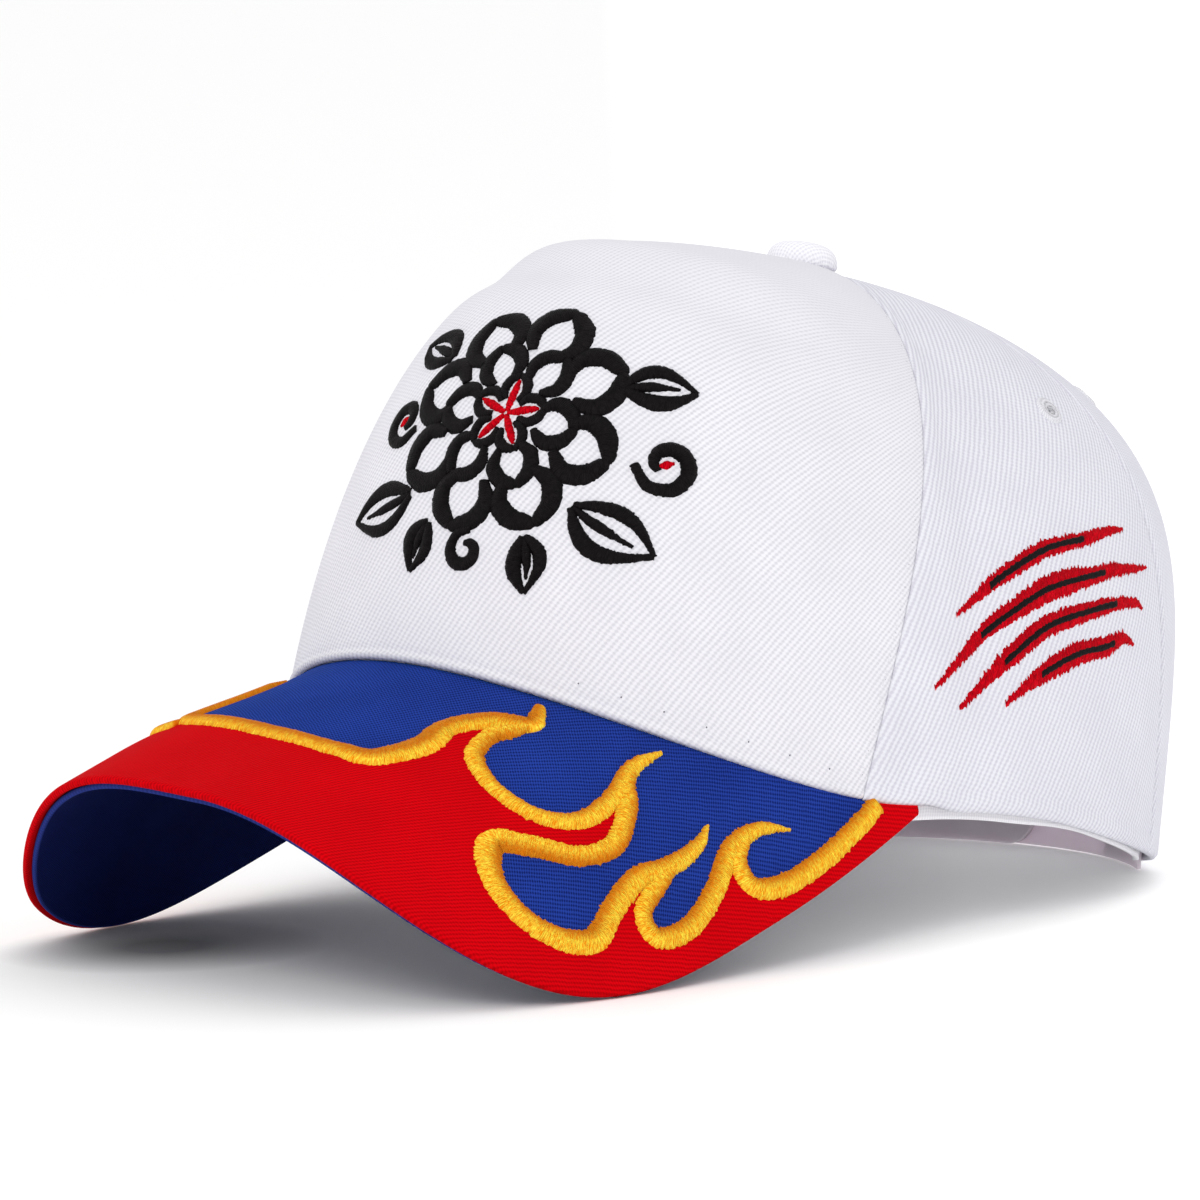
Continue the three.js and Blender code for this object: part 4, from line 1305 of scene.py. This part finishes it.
def sweatband():
    columns, rows, settle_height, stitch_height = 360, 22, 14, 3.5
    angle = np.linspace(-TAPE["end"], TAPE["end"], columns + 1)
    up = crowded(rows, 0.5)[:, None]
    height = up * TAPE["height"]
    share = height / cloth_length(angle)

    def face(depth):
        points = crown_point(angle, share, depth)
        lowered = rim_height(angle) - tape_drop(angle) - points[0, :, 2]
        points[..., 2] += (1 - smoothstep(height, 0, settle_height)) * lowered
        return points

    pillow = 0.25 * np.sin(up * math.pi) ** 0.5
    groove = 0.3 * bump(height, stitch_height, 0.6)
    outer = face(TAPE["depth"] + groove * 0.3)
    inner = face(TAPE["depth"] + TAPE["thickness"] + pillow - groove)
    mesh = (*slab(outer, inner), grid_uv(outer, columns // 2))
    add_piece("sweatband_tape", mesh, TAPE_WHITE, ["sweatband"])


def strap_point(angle, height, depth):
    share = np.maximum(0, height - rim_height(angle)) / cloth_length(angle)
    points = crown_point(angle, share, depth)
    points[..., 2] = height
    return points


def strap_tools(middle, pegs):
    """The pegs of one half of the strap, or the cores of the other half's holes."""
    size, tall, hole = PEGS["radius"], PEGS["height"], HOLES["radius"]
    if pegs:
        profile = [
            (0, -0.6), (size * 0.8, -0.6), (size * 0.8, 1.0), (size, 1.2), (size, tall - 0.4),
            (size * 0.75, tall - 0.1), (size * 0.3, tall), (0, tall),
        ]
    else:
        profile = [(0, -4), (hole, -4), (hole, 6), (0, 6)]
    step = math.degrees(HOLES["pitch"] / (BACK_REACH - STRAP["outer_depth"]))
    found = []
    for i in range(PEGS["count"] if pegs else HOLES["count"]):
        place = HOLES["last"] - i * step
        base = strap_point(place, middle, STRAP["inner_depth"])
        ahead, behind = (strap_point(place + turned, middle, 0.0) for turned in (1, -1))
        found.append(lathe(profile, 28, base, unit(np.cross(ahead - behind, [0, 0, 1]))))
    return joined(found)


def strap_half(name, node, half, pegs):
    """One half of the strap: a strip with softened edges and a round end."""
    columns, round_columns, soft, sharp_from = 150, 26, 0.35, 40
    direction = math.copysign(1, half[1] - half[0])
    radius = STRAP["height"] / 2
    middle = STRAP["lift"] + radius
    round_angle = math.degrees(radius / np.hypot(*rim_plan(half[1])))
    column = np.arange(columns + 1)
    straight = columns - round_columns
    turn = np.clip((column - straight) / round_columns, 0, 1) * math.pi / 2 * 0.985
    plain = lerp(half[0], half[1] - direction * round_angle, np.clip(column / straight, 0, 1))
    angle = plain + direction * round_angle * np.sin(turn)
    rows = np.linspace(-1, 1, 25)[:, None]
    edge = np.clip((radius - np.abs(rows) * radius) / soft, 0, 1)
    dip = soft * (1 - np.sqrt(1 - (1 - edge) ** 2))
    height = middle + radius * np.cos(turn) * np.sin(rows * math.pi / 2)
    angles = np.broadcast_to(angle, height.shape)
    step_from, step_over = STRAP_STEP["start"], STRAP_STEP["start"] - STRAP_STEP["end"]
    stepped = smoothstep(step_from - angles, 0, step_over) if pegs else 0
    depth = lerp(STRAP["outer_depth"], STRAP["inner_depth"], stepped)
    outer = strap_point(angles, height, depth + dip)
    inner = strap_point(angles, height, depth + STRAP["thickness"] - dip)
    if direction < 0:
        outer, inner = outer[:, ::-1], inner[:, ::-1]

    def fit(obj):
        tool = new_object(name + "_tool", *strap_tools(middle, pegs), PLASTIC)
        merge_doubles(tool)
        combine(obj, tool, "UNION" if pegs else "DIFFERENCE")
        obj.data.set_sharp_from_angle(angle=math.radians(sharp_from))

    mesh = (*slab(outer, inner), grid_uv(outer, columns // 2))
    add_piece(name, mesh, PLASTIC, [node], fit)


# Setting

FLOOR_HALF = 6.0
FLOOR_SUNK = 0.0002
KEY = {"place": (1.0, -1.6, 1.5), "target": (0, 0, 0.07), "size": 1.0, "power": 12}
# Metres in the floor's frame: where the paper starts to glow towards the back, painted light that
# lightens the floor's shadow there, and the patch of painted shadow under the peak
PAINTED_GLOW = {"aside": 0.68, "back": 0.73, "over": 0.07, "strength": 0.21}
PAINTED_SHADOW = {"place": (-0.05, -0.096, 0), "inner": 0.008, "outer": 0.037}


def floor_paper():
    """White paper with painted light, a little glow towards the back, and painted shadow, darker deep
    under the peak.
    """
    shader = Shader("floor_paper")
    place = shader.node("TexCoord", {}).outputs["Object"]
    x, y, _ = shader.node("SeparateXYZ", {"Vector": place}).outputs
    backward = shader.times_plus(x, PAINTED_GLOW["aside"], shader.times(y, PAINTED_GLOW["back"]))
    painted_glow = shader.ramp(backward, 0.0, PAINTED_GLOW["over"], end=PAINTED_GLOW["strength"])
    distance = shader.node("VectorMath", {0: place, 1: PAINTED_SHADOW["place"]}, operation="DISTANCE")
    clear = shader.ramp(distance.outputs["Value"], PAINTED_SHADOW["inner"], PAINTED_SHADOW["outer"])
    # Painted shadow: the paper is darker within the patch under the peak
    colour = shader.mix(clear, linear(138, 138, 140), linear(252, 252, 252))
    # Painted light: the paper glows towards the back
    light = {"emission_color": (1, 1, 1, 1), "emission_strength": painted_glow}
    return shader.look(colour, 0.9, specular_ior_level=0.1, **light)


def setting():
    mesh = bpy.data.meshes.new("floor")
    half = FLOOR_HALF
    corners = [(-half, -half), (half, -half), (half, half), (-half, half)]
    mesh.from_pydata([(x, y, -FLOOR_SUNK) for x, y in corners], [], [(0, 1, 2, 3)])
    floor = bpy.data.objects.new("floor", mesh)
    bpy.context.scene.collection.objects.link(floor)
    mesh.materials.append(floor_paper())
    world = bpy.data.worlds.new("studio")
    bpy.context.scene.world = world
    world.use_nodes = True
    background = world.node_tree.nodes["Background"]
    background.inputs["Color"].default_value = (1, 1, 1, 1)
    background.inputs["Strength"].default_value = 1.0
    bpy.context.scene.view_settings.view_transform = "Standard"
    data = bpy.data.lights.new("key", "AREA")
    data.shape = "DISK"
    data.size = KEY["size"]
    data.energy = KEY["power"]
    light = bpy.data.objects.new("key", data)
    light.location = KEY["place"]
    light.rotation_mode = "QUATERNION"
    light.rotation_quaternion = (Vector(KEY["target"]) - Vector(KEY["place"])).to_track_quat("-Z", "Y")
    bpy.context.scene.collection.objects.link(light)


# Camera, as the photograph was taken: round from the front, above the horizon, and its roll
VIEW_AZIMUTH = 47.055
VIEW_ELEVATION = 6.591
VIEW_DISTANCE = 1953.5
VIEW_ROLL = 1.835
VIEW_AIM = np.array([0, -35, 75])
VIEW_ASIDE = 0.375
VIEW_ABOVE = 6.069
PHOTO_WIDTH = 1200
FOCAL_PIXELS = 9086
SENSOR = 36


def camera():
    azimuth, elevation, roll = (math.radians(v) for v in (VIEW_AZIMUTH, VIEW_ELEVATION, VIEW_ROLL))
    level = np.array([math.sin(azimuth), -math.cos(azimuth), 0])
    back = level * math.cos(elevation) + [0, 0, math.sin(elevation)]
    right = np.array([math.cos(azimuth), math.sin(azimuth), 0])
    up = np.cross(back, right)
    place = VIEW_AIM + VIEW_DISTANCE * back - VIEW_ASIDE * right - VIEW_ABOVE * up + [0, CROWN_Y, 0]
    c, s = math.cos(roll), math.sin(roll)
    axes = np.stack([c * right - s * up, s * right + c * up, back], 1)
    data = bpy.data.cameras.new("camera")
    data.sensor_width = SENSOR
    data.lens = SENSOR * FOCAL_PIXELS / PHOTO_WIDTH
    data.clip_start, data.clip_end = 0.05, 30
    made = bpy.data.objects.new("camera", data)
    bpy.context.scene.collection.objects.link(made)
    matrix = Matrix(axes.tolist()).to_4x4()
    matrix.translation = Vector(place * MM)
    made.matrix_world = matrix
    bpy.context.scene.camera = made


front_panel()
for hand, side in HANDS:
    side_panel(hand, side)
    back_panel(hand, side)
peak_cover()
peak_underside()
flames()
scratches()
flower()
seam_stitches()
needle_holes()
eyelets()
top_button()
sweatband()
strap_half("strap_with_holes", "strap_holes", OUTER_HALF, False)
strap_half("strap_with_pegs", "strap_pegs", INNER_HALF, True)
setting()
camera()
